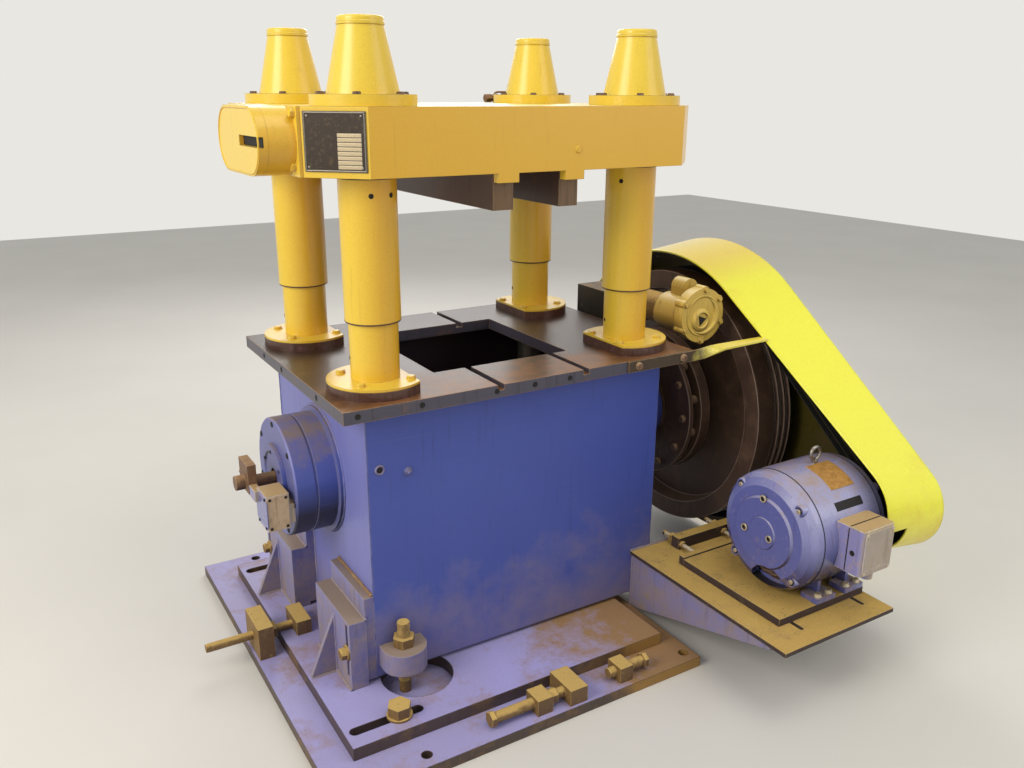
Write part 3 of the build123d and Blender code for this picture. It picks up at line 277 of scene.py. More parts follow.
finishWays = dict(
    # sprayed blue enamel of the castings: even, matt to the eye, painted paler on faces towards the light, painted
    # shade underneath
    machineBlueEnamel=dict(blueWays, underFrom=0.2, underTo=-0.35),
    # the same enamel on the welded walls: darker brown on the inside faces as painted shade, greyed and streaked low
    # down, pale rubbed corners that are partly a painted highlight
    bodyWallEnamel=dict(
        blueWays, dustAndLight="#8a7c8c", low=0.55, lowTop=0.46, runs=0.1, edge=5.0, wear=0.5, blotchSize=160,
        dustAndLightEdge=(0.58, 1.1), inside=(0.0, 0.0, 0.45), insideDirtAndShade="#2c1a12"),
    # the same enamel on the feet: greyed and browned by shop dust, pale rubbed edges, a pale lavender tint towards the
    # light as painted light, painted shade underneath
    greyedBlueEnamel=dict(
        blueWays, base="#5a5c94", fade="#6c6aa0", dustAndLight="#9c8872", litTint="#8886b4", grimeAndShade="#2c2528", bare="#a8a2bc",
        side=0.08, wear=0.6, runs=0.2, specks=0.4, speckSize=5),
    # thin lavender paint of the floor plates, walked on: tan dust that grows towards the belt end, brown edges
    walkedBluePaint=dict(
        base="#b2aef0", fade="#a096a8", dustAndLight="#a07a3c", grimeAndShade="#3c2e26", bare="#4a382c", sideBase="#493a34",
        blotchSize=130, top=0.02, side=0.06, runs=0.3, fadeSize=420, wear=0.75, edge=4.0, rough=0.5, coat=0.12,
        bump=0.4, drift=0.42, driftFrom=0.0, driftTo=0.36, dustAndLightEdge=(0.58, 0.84), specks=0.6, speckSize=6),
    # the shelf's paint lies under a golden tan dust with dark specks and worn grey patches, its edges are dark brown
    dustedShelfPaint=dict(
        base="#bf9a50", fade="#d3b264", dustAndLight="#8f7558", grimeAndShade="#3c2c26", bare="#e0c890", sideBase="#3c2e2c",
        blotchSize=90, gritSize=5, top=0.05, side=0.0, runs=0.15, wear=0.4, rough=0.7, dustAndLightRough=0.7, coat=0.0,
        bump=0.6, specks=0.9, speckSize=7),
    # brushed mustard enamel of the castings: glossy and golden, oily on the sides; lemon on top faces and towards the
    # light as painted light, darker underneath as painted shade
    mustardEnamel=yellowWays,
    # the same enamel on the caps, painted lighter and more lemon as if lit from above
    litCapMustardEnamel=dict(yellowWays, base="#e6c02c", fade="#eaca3c", litTint="#efd448"),
    # the same enamel on the valve under greasy shop dust that is paler where it also stands for highlights, a paler
    # tint towards the light as painted light, and darker underneath as painted shade
    greasyYellowEnamel=dict(
        yellowWays, base="#d8b24a", fade="#e6c662", dustAndLight="#ecd27c", grimeAndShade="#4a3418", runs=0.25, blotchSize=18,
        litTint="#eacc62", rough=0.45, coat=0.15, bump=0.6, wear=0.5, bare="#6a5022", under=0.85, speck="#5a4420",
        specks=0.5, speckSize=4),
    # lemon sheet enamel of the guard: golden on top and lemon on its slope as painted light and shade, painted shade
    # in dark brown on its inner faces, golden lower down
    lemonEnamel=dict(lemonWays, inside=(0.884, -0.4, 0.5), insideDirtAndShade="#33271a"),
    # the same enamel on the strap, brown with old oil at its bed end, its pale tan edges a painted highlight
    oiledLemonEnamel=dict(
        lemonWays, base="#f4e65a", sideBase="#f4e65a", dustAndLight="#3a281c", bare="#d8b484", wear=0.8, blotchSize=40,
        drift=0.9, low=0.0, driftFrom=0.63, driftTo=0.5, cover=0.99),
    # machined bed steel under brown oil: dark and wet on top with golden brown wood coloured patches near the
    # front, grey blue at the sides with bright rubbed edges that are partly a painted highlight
    oiledBedSteel=dict(
        base="#33241a", fade="#4f3624", dustAndLight="#8a5c34", grimeAndShade="#1a1310", bare="#c09a70", sideBase="#4c4956", top=0.0,
        side=0.0, runs=0.2, wear=0.6, edge=3.0, rough=0.4, dustAndLightRough=0.5, metal=0.1, blotchSize=90, driftAxis=1,
        driftFrom=-0.1, driftTo=-0.42, driftTop=1.0, drift=0.36, dustAndLightEdge=(0.6, 0.85)),
    # the die rails: brown with oil all over, painted lighter tan on the faces that look forward
    oiledRailSteel=dict(
        base="#3c261c", fade="#4c3024", dustAndLight="#6e4c34", grimeAndShade="#1a1310", bare="#a0805a", top=0.0, side=0.04, runs=0.3,
        wear=0.6, edge=4.0, rough=0.45, dustAndLightRough=0.6, metal=0.1, litFrom=(0.0, -1.0, 0.0), litTint="#7a5f3e",
        litShare=0.8),
    # the seal rings, brown with oil that runs down in pinkish streaks
    oilSoakedRing=dict(
        base="#4a2e22", fade="#5c3a2a", dustAndLight="#8a6272", grimeAndShade="#2a1a16", bare="#a07a4a", top=0.0, side=0.02, runs=0.35,
        wear=0.4, rough=0.3, dustAndLightRough=0.4, coat=0.4, metal=0.1, blotchSize=16, runWidth=7),
    # rusty screws and nuts: dull brown, gritty, golden on top faces and paler towards the light as painted light
    rustySteel=dict(
        base="#5c432c", fade="#7a5f3e", dustAndLight="#d6b468", grimeAndShade="#2c1c14", bare="#d0b070", blotchSize=18, top=0.55,
        side=0.0, runs=0.2, wear=0.55, rough=0.65, coat=0.0, bump=0.6, metal=0.1, litTint="#a5843f", litShare=0.35,
        specks=0.8, speckSize=5),
    # painted shade: a near-black matt standing for the shade in holes, slots and recesses, also used for a dark joint
    # line
    paintedShadeBlack=dict(
        base="#0b0807", fade="#140f0c", dustAndLight="#2c2119", grimeAndShade="#050404", bare="#1c1511", top=0.0, side=-0.05,
        runs=0.05, wear=0.1, rough=0.7, coat=0.0, bump=0.4),
    # the crank's shaft end and coupling: steel browned by handling, tan on top, darker underneath as painted shade
    brownedSteel=dict(
        base="#6a4a38", fade="#86664a", dustAndLight="#b5936a", grimeAndShade="#1c1412", bare="#c0a88a", blotchSize=24, top=0.4,
        side=0.02, runs=0.3, wear=0.6, rough=0.5, coat=0.0, bump=0.5, metal=0.2, under=0.8, specks=0.8, speckSize=6),
    # ground steel of shafts and posts: a bright narrow sheen under thin oil
    groundSteel=dict(
        base="#8d8880", fade="#a29c92", dustAndLight="#7d6a4f", grimeAndShade="#4a3a2a", bare="#c8c4bd", top=0.05, side=-0.1, runs=0.1,
        wear=0.2, rough=0.3, coat=0.0, bump=0.1, metal=0.9),
    # cast iron of the flywheel and clutch: brown black, dusty where it faces up, with rubbed grey rims
    dustyIron=dict(
        base="#42332a", fade="#604838", dustAndLight="#80604a", grimeAndShade="#1a1412", bare="#b8a292", top=0.15, runs=0.2, wear=0.9,
        edge=6.0, rough=0.5, coat=0.0, bump=0.5, metal=0.1),
    # vulcanised belt rubber: matt black with grey rub marks
    beltRubber=dict(
        base="#17171a", fade="#242426", dustAndLight="#4a443c", grimeAndShade="#0c0c0c", bare="#3a3834", top=0.0, side=-0.05,
        runs=0.05, wear=0.3, rough=0.75, coat=0.0, bump=0.3),
    # moulded black plastic with a tan film on its lid
    mouldedBlack=dict(
        base="#1a1918", fade="#24211e", grimeAndShade="#0c0c0c", bare="#4a443c", side=-0.05, runs=0.05, wear=0.2, rough=0.55,
        coat=0.0, bump=0.2),
    # glossy motor enamel: tan dust on top, a pale tint towards the light as painted light, deep blue and darker
    # underneath as painted shade; the bells are darkened inside as painted shade
    motorEnamel=motorWays,
    motorBellEnamel=dict(motorWays, inside=(0.681, -0.734, 0.416), insideDirtAndShade="#0f0d0e"),
    # grey box paint: chalky, chipped bright at its corners, a lavender tint on its left faces as painted light
    greyBoxPaint=dict(
        base="#b3a085", fade="#a39a98", dustAndLight="#c2a26c", grimeAndShade="#4a3828", bare="#ece4d4", top=0.45, side=0.04, runs=0.2,
        wear=0.75, edge=4.0, rough=0.36, coat=0.2, blotchSize=26, litTint="#8a88be", litShare=0.95,
        litFrom=(-1.0, 0.35, -0.1), specks=0.4, speckSize=5),
    # bare aluminium plate under speckled tan dust
    dustyPlate=dict(
        base="#b98a42", fade="#cf9e52", dustAndLight="#8f6430", grimeAndShade="#6a4c2a", bare="#e0c07a", blotchSize=16, top=0.1,
        side=0.1, runs=0.1, wear=0.5, rough=0.6, coat=0.0, metal=0.3, specks=0.9, speckSize=5, speck="#7a5224"),
    # tan cover of the switch box: pale paint rubbed dull
    tanCoverPaint=dict(
        base="#b59c7c", fade="#c6ac8a", dustAndLight="#94744e", grimeAndShade="#4a3624", bare="#e0d0b8", blotchSize=20, top=0.1,
        side=0.05, runs=0.2, wear=0.6, rough=0.5, specks=0.6, speckSize=6),
    # printed plate metal: a dull dark brown field with rubbed pale spots
    blankPlateMetal=dict(
        base="#2a2019", fade="#3a2d20", dustAndLight="#7a6640", grimeAndShade="#100d0a", bare="#b3ab97", top=0.0, side=0.02, runs=0.1,
        wear=0.7, rough=0.4, coat=0.1, metal=0.3, blotchSize=12),
    # worn brass and pale scuffed steel on rims and small studs
    brightStud=dict(
        base="#b9a88a", fade="#c9b995", dustAndLight="#b08a50", grimeAndShade="#4a3624", bare="#efe8d8", blotchSize=14, top=0.1,
        side=-0.05, runs=0.1, wear=0.7, rough=0.4, coat=0.0, metal=0.5),
)
finish = {name: layeredFinish(name, ways) for name, ways in finishWays.items()}
slotFinish = dict(
    blue_paint="machineBlueEnamel", pale_blue_paint="walkedBluePaint", yellow_paint="mustardEnamel",
    lemon_paint="lemonEnamel", oily_steel="oiledBedSteel", bare_steel="groundSteel", rusty_steel="rustySteel",
    dark_iron="dustyIron", black_rubber="beltRubber", black_plastic="mouldedBlack", motor_blue="motorEnamel",
    grey_box_paint="greyBoxPaint", plate_metal="blankPlateMetal")
# nodes whose wear differs from that of their slot, under the name of their finish
ownFinish = dict(
    dustedShelfPaint="motor_shelf slide_base tension_rail", greyedBlueEnamel="foot_brackets jack_lugs shelf_gussets",
    bodyWallEnamel="body_front_wall body_back_wall body_left_wall body_right_wall body_floor",
    litCapMustardEnamel="cone_cap_front_left cone_cap_front_right cone_cap_back_left cone_cap_back_right",
    brownedSteel="crank_shaft rotary_coupling", oiledRailSteel="die_rails", oiledLemonEnamel="guard_strap",
    oilSoakedRing="seal_rings", greasyYellowEnamel="air_valve", motorBellEnamel="motor_bells")
nodeFinish = {node: name for name, group in ownFinish.items() for node in group.split()}
for part in frame["record"]["subparts"]:
    for slot in nodes[part["node"]].material_slots:
        slot.material = finish[nodeFinish.get(part["node"], slotFinish[part["material_slot"]])]
print("stage: finishes,", len(finish))


# a grid of points (rows, columns, xyz) closed round its columns, as corners and four-cornered faces
def wrapGrid(points):
    rows, cols = points.shape[:2]
    i = np.arange(rows * cols).reshape(rows, cols)
    j = np.roll(i, -1, axis=1)
    return points.reshape(-1, 3), np.stack([i[:-1], j[:-1], j[1:], i[1:]], -1).reshape(-1, 4)


# the same grid with each end drawn together in one point
def closedGrid(grid, first, last):
    ends = [np.broadcast_to(np.array(e, float), (1, *grid.shape[1:])) for e in (first, last)]
    return wrapGrid(np.concatenate([ends[0], grid, ends[1]]))


def roundTurn(sides):
    return np.arange(sides) * 2 * np.pi / sides


# a shape turned about z: row t has radius r(t) at height z(t); where a row gives flats, the radius is the smaller
# of r and flats / cos(a folded into one sixth of a turn), which is a hexagon that the turned profile chamfers
def turned(rows, sides=24):
    r, z, flats = np.array([(*row, 1e9)[:3] for row in rows], float).T
    a = roundTurn(sides)
    hexagon = 1 / np.cos((a + np.pi / 6) % (np.pi / 3) - np.pi / 6)
    radius = np.minimum(r[:, None], flats[:, None] * hexagon)
    return wrapGrid(np.stack([radius * np.cos(a), radius * np.sin(a), z[:, None] + 0 * a], -1))


# a screw thread: at height z and angle a the radius falls by depth times a triangle wave of z / pitch - a / 2 pi
def threaded(radius, depth, pitch, length, sides=18):
    z = np.linspace(0, length, int(4 * length / pitch) + 1)
    a = roundTurn(sides)
    wave = 2 * np.abs((z[:, None] / pitch - a / (2 * np.pi)) % 1 - 0.5)
    r = radius - depth * wave
    return closedGrid(np.stack([r * np.cos(a), r * np.sin(a), z[:, None] + 0 * a], -1), (0, 0, 0), (0, 0, length))


# a round bar along a path: each ring lies square to the path's direction there, with its own radius
def tube(path, radius, sides=10, up=(0.0, 0.0, 1.0)):
    path = np.array(path, float)
    radius = np.broadcast_to(np.array(radius, float), len(path))
    ahead = np.gradient(path, axis=0)
    ahead /= np.linalg.norm(ahead, axis=1)[:, None]
    across = np.cross(ahead, np.broadcast_to(np.array(up, float), ahead.shape))
    across /= np.linalg.norm(across, axis=1)[:, None]
    over = np.cross(across, ahead)
    a = roundTurn(sides)
    ring = across[:, None] * np.cos(a)[:, None] + over[:, None] * np.sin(a)[:, None]
    return closedGrid(path[:, None] + radius[:, None, None] * ring, path[0], path[-1])


# even steps along a line through the points: the way to each point is the sum of the distances before it
def evenly(points, step):
    points = np.array(points, float)
    way = np.concatenate([[0], np.cumsum(np.linalg.norm(np.diff(points, axis=0), axis=1))])
    s = np.linspace(0, way[-1], max(6, int(way[-1] / step)))
    return s, np.stack([np.interp(s, way, points[:, k]) for k in range(3)], -1)


# a weld bead: a bar along straight runs whose radius swells with the absolute sine of the way along it, and
# wanders a little with two longer sines
def bead(points, radius=4.0, ripple=5.0, up=(0.31, 0.2, 0.93)):
    s, path = evenly(points, ripple / 4)
    wander = 0.1 * np.sin(s / 17) + 0.08 * np.sin(s / 6.1 + 1)
    return tube(path, radius * (0.82 + 0.2 * np.abs(np.sin(np.pi * s / ripple)) + wander), sides=8, up=up)


# a flat piece with rounded corners: each row is the outline set in by its inset, at its height
def slab(halfX, halfY, corner, rows, steps=5):
    inset, z = np.array(rows, float).T
    a = (np.arange(4)[:, None] * 90 + np.linspace(0, 90, steps)) * np.pi / 180
    sx, sy = np.array([1, -1, -1, 1])[:, None] + 0 * a, np.array([1, 1, -1, -1])[:, None] + 0 * a
    a, sx, sy = a.ravel(), sx.ravel(), sy.ravel()
    r = np.maximum(corner - inset, 0.02)[:, None]
    x = sx * (halfX - inset[:, None] - r) + r * np.cos(a)
    y = sy * (halfY - inset[:, None] - r) + r * np.sin(a)
    return closedGrid(np.stack([x, y, z[:, None] + 0 * x], -1), (0, 0, z[0]), (0, 0, z[-1]))


# copies of a shape with its z laid along axis, turned by spin about it, at each place
def spread(shape, places, axis=(0, 0, 1), spin=0.0):
    points, faces = shape
    w = np.array(axis, float) / np.linalg.norm(axis)
    u = np.cross([0, 1, 0] if abs(w[1]) < 0.9 else [0, 0, 1], w)
    u /= np.linalg.norm(u)
    v = np.cross(w, u)
    c, s = math.cos(math.radians(spin)), math.sin(math.radians(spin))
    turn = np.stack([c * u + s * v, -s * u + c * v, w])
    places = np.atleast_2d(np.array(places, float))
    moved = (points @ turn)[None] + places[:, None]
    shift = np.arange(len(places))[:, None, None] * len(points)
    return moved.reshape(-1, 3), (faces[None] + shift).reshape(-1, faces.shape[1])


# places on a circle of this radius in the plane square to axis x, y or z
def onCircle(centre, radius, degrees, axis="z"):
    a = np.radians(np.array(degrees, float))
    c, s, none = np.cos(a), np.sin(a), 0 * a
    flat = {"x": (none, c, s), "y": (c, none, s), "z": (c, s, none)}[axis]
    return np.array(centre, float) + radius * np.stack(flat, -1)


def makePiece(name, shapes, material, body="base"):
    points, faces, count = [], [], 0
    for p, f in shapes:
        points.append(p)
        faces.append(f + count)
        count += len(p)
    mesh = bpy.data.meshes.new(name)
    mesh.from_pydata((np.concatenate(points) * mm).tolist(), [], np.concatenate(faces).tolist())
    work = bmesh.new()
    work.from_mesh(mesh)
    bmesh.ops.remove_doubles(work, verts=work.verts, dist=1e-6)
    bmesh.ops.recalc_face_normals(work, faces=work.faces)
    work.to_mesh(mesh)
    work.free()
    mesh.polygons.foreach_set("use_smooth", np.ones(len(mesh.polygons), bool))
    mesh.set_sharp_from_angle(angle=math.radians(32))
    mesh.materials.append(finish[material])
    piece = bpy.data.objects.new(name, mesh)
    bpy.context.scene.collection.objects.link(piece)
    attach(piece, body)


# heads and washers start 1 mm below their place, so that they are seated; f and k are half the flats, and the
# numbers beside them and the heights are shares of those sizes
def hexHead(flats, high):
    f = flats / 2
    return turned([(0, -1), (1.16 * f, -1, f), (1.16 * f, 0.84 * high, f), (0.97 * f, high, f), (0, high)])


def washer(radius, thick):
    return turned([(0, -1), (radius, -1), (radius, 0.7 * thick), (radius - 0.3 * thick, thick), (0, thick)], 28)


def socketHead(radius, high):
    k = 0.52 * radius
    return turned([(0, -1), (radius, -1), (radius, 0.82 * high), (0.9 * radius, high), (2 * k, high, k),
                   (2 * k, 0.4 * high, k), (0, 0.4 * high)])


# washers with hexagon heads: bolt gives the head's flats and height, then the washer's radius and thickness
def boltSet(spots, bolt, axis=(0, 0, 1), spin=0.0, lift=0.0):
    flats, high, rim, thick = bolt
    raised = np.array(spots, float) + lift * np.array(axis)
    return [spread(washer(rim, thick), spots, axis), spread(hexHead(flats, high), raised, axis, spin)]


left, right, forth, aft, above = (-1, 0, 0), (1, 0, 0), (0, -1, 0), (0, 1, 0), (0, 0, 1)   # ways that a face looks
postPlaces = np.array([(x, y, 0.0) for x in (-390, 390) for y in (-257, 257)])

# bolts on the flanges of the lower sleeves, and set screws low on the sleeves, near black as painted shade of
# their holes
sleeveBolts = dict(
    circle=94, angles=(45, 135, 225, 315), bolt=(19, 8, 13, 2.5), flangeTop=880, radius=61, screw=(5, 0.8),
    screwAngle=164, screwTop=931)


def buildSleeveBolts(w):
    bolts, screws = [], []
    out = onCircle((0, 0, 0), 1, w["screwAngle"])
    for place in postPlaces:
        bolts += boltSet(onCircle(place + [0, 0, w["flangeTop"]], w["circle"], w["angles"]), w["bolt"], spin=17)
        screws.append(spread(socketHead(*w["screw"]), place + w["radius"] * out + [0, 0, w["screwTop"]], out))
    makePiece("sleeve_flange_bolts", bolts, "mustardEnamel")
    makePiece("lower_sleeve_screws", screws, "paintedShadeBlack")


buildSleeveBolts(sleeveBolts)

# upper sleeves: a dark collar under the platen, a brown lip ring at the foot that stands for the shadow line
# there as painted shade, and set screws just below the collar, near black as painted shade of their holes
upperSleeve = dict(
    radius=69, inner=64, lip=1024, collarTop=1372, collar=9, screw=(6, 0.9), screwTop=1327,
    angles=((-106, -62), (106, 62), (-150,), (150,)))


def buildUpperSleeves(w):
    r, top, foot = w["radius"], w["collarTop"], w["collarTop"] - w["collar"]
    ring = turned([(r - 2, foot), (r + 2, foot), (r + 3, foot + 1.5), (r + 3, top - 0.2), (r - 2, top - 0.2),
                   (r - 2, foot)], 48)
    makePiece("upper_sleeve_collars", [spread(ring, postPlaces)], "beltRubber", "press_slide")
    inner, z = w["inner"], w["lip"]
    lip = turned([(inner, z - 1.5), (r - 0.6, z - 1.5), (r + 0.6, z), (r + 0.6, z + 2.5), (inner, z + 2.5),
                  (inner, z - 1.5)], 48)
    makePiece("upper_sleeve_lip_shade_rings", [spread(lip, postPlaces)], "oilSoakedRing", "press_slide")
    screws = []
    for place, angles in zip(postPlaces, w["angles"]):
        for out in onCircle((0, 0, 0), 1, angles):
            screws.append(spread(socketHead(*w["screw"]), place + (r - 0.2) * out + [0, 0, w["screwTop"]], out))
    makePiece("upper_sleeve_screws", screws, "paintedShadeBlack", "press_slide")


buildUpperSleeves(upperSleeve)

# platen: a plug on its front and back, bolts of the post caps, bolts of the end housing
platenParts = dict(
    plug=(106, 405, 1422), capCircle=103, capAngles=(0, 60, 120, 180, 240, 300), capTop=1548, capBolt=(16, 6, 10, 2),
    housingBolt=(19, 10, 12, 2.5),
    housingSpots=((-561, -272, 1509), (-561, -262, 1394), (-561, 42, 1509), (-561, 32, 1394)))


def buildPlatenParts(w):
    plug, (x, y, z) = turned([(0, -1), (9, -1), (9, 1.5), (7.5, 3), (0, 3)]), w["plug"]
    shapes = [spread(plug, (x, -y, z), forth), spread(plug, (x, y, z), aft)]
    browned = []
    for place in postPlaces:
        spots = onCircle(place + [0, 0, w["capTop"]], w["capCircle"], w["capAngles"])
        browned += boltSet(spots, w["capBolt"], spin=9)
    makePiece("cap_flange_bolts", browned, "oilSoakedRing", "press_slide")
    shapes += boltSet(w["housingSpots"], w["housingBolt"], left, 12)
    makePiece("platen_bolts", shapes, "mustardEnamel", "press_slide")


buildPlatenParts(platenParts)

# a small air fitting that lies on the platen's back right corner, with a thin tube to a pointed tap
airFitting = dict(y=372, start=284, end=334, z=1537, radius=13, pipe=3, tapX=374, tapZ=1553)


def buildAirFitting(w):
    y, z, r, tapX, tapZ = w["y"], w["z"], w["radius"], w["tapX"], w["tapZ"]
    flats, bend = 0.95 * r, w["end"] - 14
    nut = turned([(0, 0), (0.9 * r, 0), (r * 1.1, 3, flats), (r * 1.1, 20, flats), (0.8 * r, 23), (0.7 * r, 24),
                  (0.7 * r, 30), (1.05 * r, 32), (1.05 * r, 46), (0.8 * r, 50), (0, 50)])
    line = [(bend, y, z), (bend, y, tapZ), (bend + 10, y, tapZ + 3), (tapX, y, tapZ + 3)]
    pipe = tube(evenly(line, 5)[1], w["pipe"], up=(0.1, 1, 0))
    tap = turned([(0, -4), (9, -4), (9, 9), (6, 13), (5, 17), (7, 20), (2.5, 33), (0, 34)])
    makePiece("platen_air_fitting", [spread(nut, (w["start"], y, z), right), pipe, spread(tap, (tapX, y, tapZ))],
              "brownedSteel", "press_slide")


buildAirFitting(airFitting)

# the tops of the post caps: a pressed lid with a rounded shoulder on each
capLids = dict(radius=54, foot=1698, high=15, round=6)


def buildCapLids(w):
    r, z, h, k = w["radius"], w["foot"], w["high"], w["round"]
    a = np.radians(np.linspace(0, 90, 7))
    shoulder = list(zip(r - 1.5 - k + k * np.cos(a), z + h - k + k * np.sin(a)))
    lid = turned([(r - 8, z - 1), (r, z - 1), (r, z + 2), (r - 1.5, z + 4), *shoulder, (0.4 * r, z + h + 0.8),
                  (0, z + h + 1)], 48)
    makePiece("cone_cap_lids", [spread(lid, postPlaces)], "litCapMustardEnamel", "press_slide")


buildCapLids(capLids)

# name plate on the corner cut of the platen: a raised pale rim, four rivets, a column of pale fields
namePlate = dict(
    middle=(-498.0, -350.0, 1449.5), wide=146, high=128, rim=3.0, rimRadius=1.5, lift=1.6, rivetIn=7, fieldWide=56,
    fieldHigh=8.2, fieldTop=14, fieldStep=9.6, fields=8, fieldX=34)


def buildNamePlate(w):
    out, side = np.array([-1, -1, 0]) / math.sqrt(2), np.array([1, -1, 0]) / math.sqrt(2)
    turn = np.stack([side, [0, 0, 1], out])
    middle = np.array(w["middle"]) + w["lift"] * out
    # rim: a thin bar on a rectangle with rounded corners, whose sides are cosine and sine cut off at 1
    hx, hy = w["wide"] / 2 - w["rim"], w["high"] / 2 - w["rim"]
    a = np.linspace(0, 2 * np.pi, 161)
    x, y = (h * np.sign(k) * np.minimum(1, np.abs(k) * 1.42) ** 0.9 for h, k in ((hx, np.cos(a)), (hy, np.sin(a))))
    shapes = [tube(np.stack([x, y, 0 * x], -1), w["rimRadius"], sides=8)]
    corners = [(sx * (hx - w["rivetIn"]), sy * (hy - w["rivetIn"]), 0) for sx in (-1, 1) for sy in (-1, 1)]
    shapes.append(spread(turned([(0, -1), (3, -1), (2.6, 1.2), (1.4, 2), (0, 2.2)], 14), corners))
    strip = slab(w["fieldWide"] / 2, w["fieldHigh"] / 2, 1.0, [(0, -1.5), (0, 0.1), (0.3, 0.3)])
    rows = w["fieldTop"] - np.arange(w["fields"]) * w["fieldStep"]
    fields = [spread(strip, np.stack([0 * rows + w["fieldX"], rows, 0 * rows], -1))]
    for name, flat, material in (("rim", shapes, "groundSteel"), ("fields", fields, "brightStud")):
        flat = [(points @ turn + middle, faces) for points, faces in flat]
        makePiece("name_plate_" + name, flat, material, "press_slide")


buildNamePlate(namePlate)

# bed: near-black discs along its four edges, painted shade standing for screw holes
bedEdge = dict(frontX=(-497, -331, -122, -8, 102), leftY=(218, 60, -218), half=(533, 400), z=834, hole=7.5)


def buildBedEdge(w):
    r, z, (hx, hy) = w["hole"], w["z"], w["half"]
    plug = turned([(0, -1), (r, -1), (r, 0.4), (r - 1.5, 0.7), (r - 2.5, 0.3), (0, 0.3)])
    shapes = [spread(plug, [(x, s * hy, z) for x in w["frontX"]], (0, s, 0)) for s in (-1, 1)]
    shapes += [spread(plug, [(s * hx, y, z) for y in w["leftY"]], (s, 0, 0)) for s in (-1, 1)]
    makePiece("bed_edge_hole_shades", shapes, "paintedShadeBlack")


buildBedEdge(bedEdge)

# body: a plug and a stud on the front wall, the plug's socket near black as painted shade, weld beads at the
# corners and round the bearing housings
bodyParts = dict(
    plug=(-426, -345, 664), stud=(-350, -345, 645), studBolt=(17, 7, 12, 2), socket=(7.5, 1.5), half=(458, 345),
    foot=80, top=815, crankHeight=552, leftRing=179, rightRing=206)


def buildBodyParts(w):
    ring = turned([(8, -1), (14, -1), (14, 1), (12.5, 3), (9.5, 3), (8, 1), (8, -1)])
    makePiece("wall_plug_ring", [spread(ring, w["plug"], forth)], "greyedBlueEnamel")
    stud = turned([(0, -1), (9, -1), (9, 1), (6, 2), (6, 16), (5, 17.5), (0, 17.5)])
    shapes = boltSet(w["stud"], w["studBolt"], forth, 12) + [spread(stud, w["stud"], forth)]
    makePiece("wall_stud", shapes, "machineBlueEnamel")
    makePiece("wall_plug_sockets", [spread(socketHead(*w["socket"]), w["plug"], forth)], "paintedShadeBlack")
    hx, hy = w["half"]
    corners = [(sx * hx, sy * (hy - 2)) for sx in (-1, 1) for sy in (-1, 1)]
    welds = [bead([(x, y, w["foot"]), (x, y, w["top"])], 2.2, 6, up=(1, 0.3, 0)) for x, y in corners]
    for x, r in ((-hx, w["leftRing"]), (hx, w["rightRing"])):
        ring = onCircle((x, 0, w["crankHeight"]), r, np.linspace(0, 360, 90), "x")
        welds.append(bead(ring, 4.5, 7, up=(1, 0.1, 0.05)))
    makePiece("body_welds", welds, "machineBlueEnamel")


buildBodyParts(bodyParts)

# crank housing: socket screws on its face and small ones on the cap; a ring of screws is its face, radius, first
# angle, count and screw
crankHousing = dict(height=552, rings=((-585, 149, 35, 7, (8, 2.0)), (-597, 74, 28, 6, (5, 1.2))))


def buildCrankHousing(w):
    shapes = []
    for face, radius, first, count, screw in w["rings"]:
        spots = onCircle((face, 0, w["height"]), radius, first + np.arange(count) * 360 / count, "x")
        shapes.append(spread(socketHead(*screw), spots, left))
    makePiece("housing_face_screws", shapes, "beltRubber")


buildCrankHousing(crankHousing)

# motor: bell lugs with bolts, plugs, feet bolts, windings, and a bare plate and a near-black slot on the barrel,
# the slot and the wells of lugs and plugs being painted shade; a patch of the barrel is its reach in x, its reach
# in degrees round it and its thickness
motor = dict(
    y=-734, z=416, front=514, back=848, lugIn=16, lugCircle=146, lugAngles=(45, 135, 225, 315), lugBolt=(12, 5),
    plugs=((62, -7), (-28, -5), (5, 101)), plugSocket=(6.5, 2), barrel=169, plate=((652, 741), (93, 127), 1.6),
    slot=((636, 738), (138.5, 146.5), 0.8), feetX=(616, 658, 728, 770), feetOut=127, feetTop=256,
    footBolt=(17, 9, 11.5, 2.5), coilX=(572, 790), coil=128, wire=14, swell=4, discX=(584, 774), seamX=(570, 792))


# a sheet bent round the barrel: x runs along it, angle v round it; it starts 1 mm inside the barrel
def barrelPatch(w, along, around, thick):
    u, v = np.meshgrid(np.linspace(*along, 10), np.radians(np.linspace(*around, 14)), indexing="ij")
    layers = [np.stack([u, w["y"] + r * np.cos(v), w["z"] + r * np.sin(v)], -1).reshape(-1, 3)
              for r in (w["barrel"] - 1, w["barrel"] + thick)]
    i = np.arange(u.size).reshape(u.shape)
    edge = np.concatenate([i[:, 0], i[-1, 1:], i[-2::-1, -1], i[0, -2:0:-1]])
    after = np.roll(edge, -1)
    wall = np.stack([edge, after, after + u.size, edge + u.size], -1)
    return np.concatenate(layers), np.concatenate([gridFaces(i), gridFaces(i) + u.size, wall])


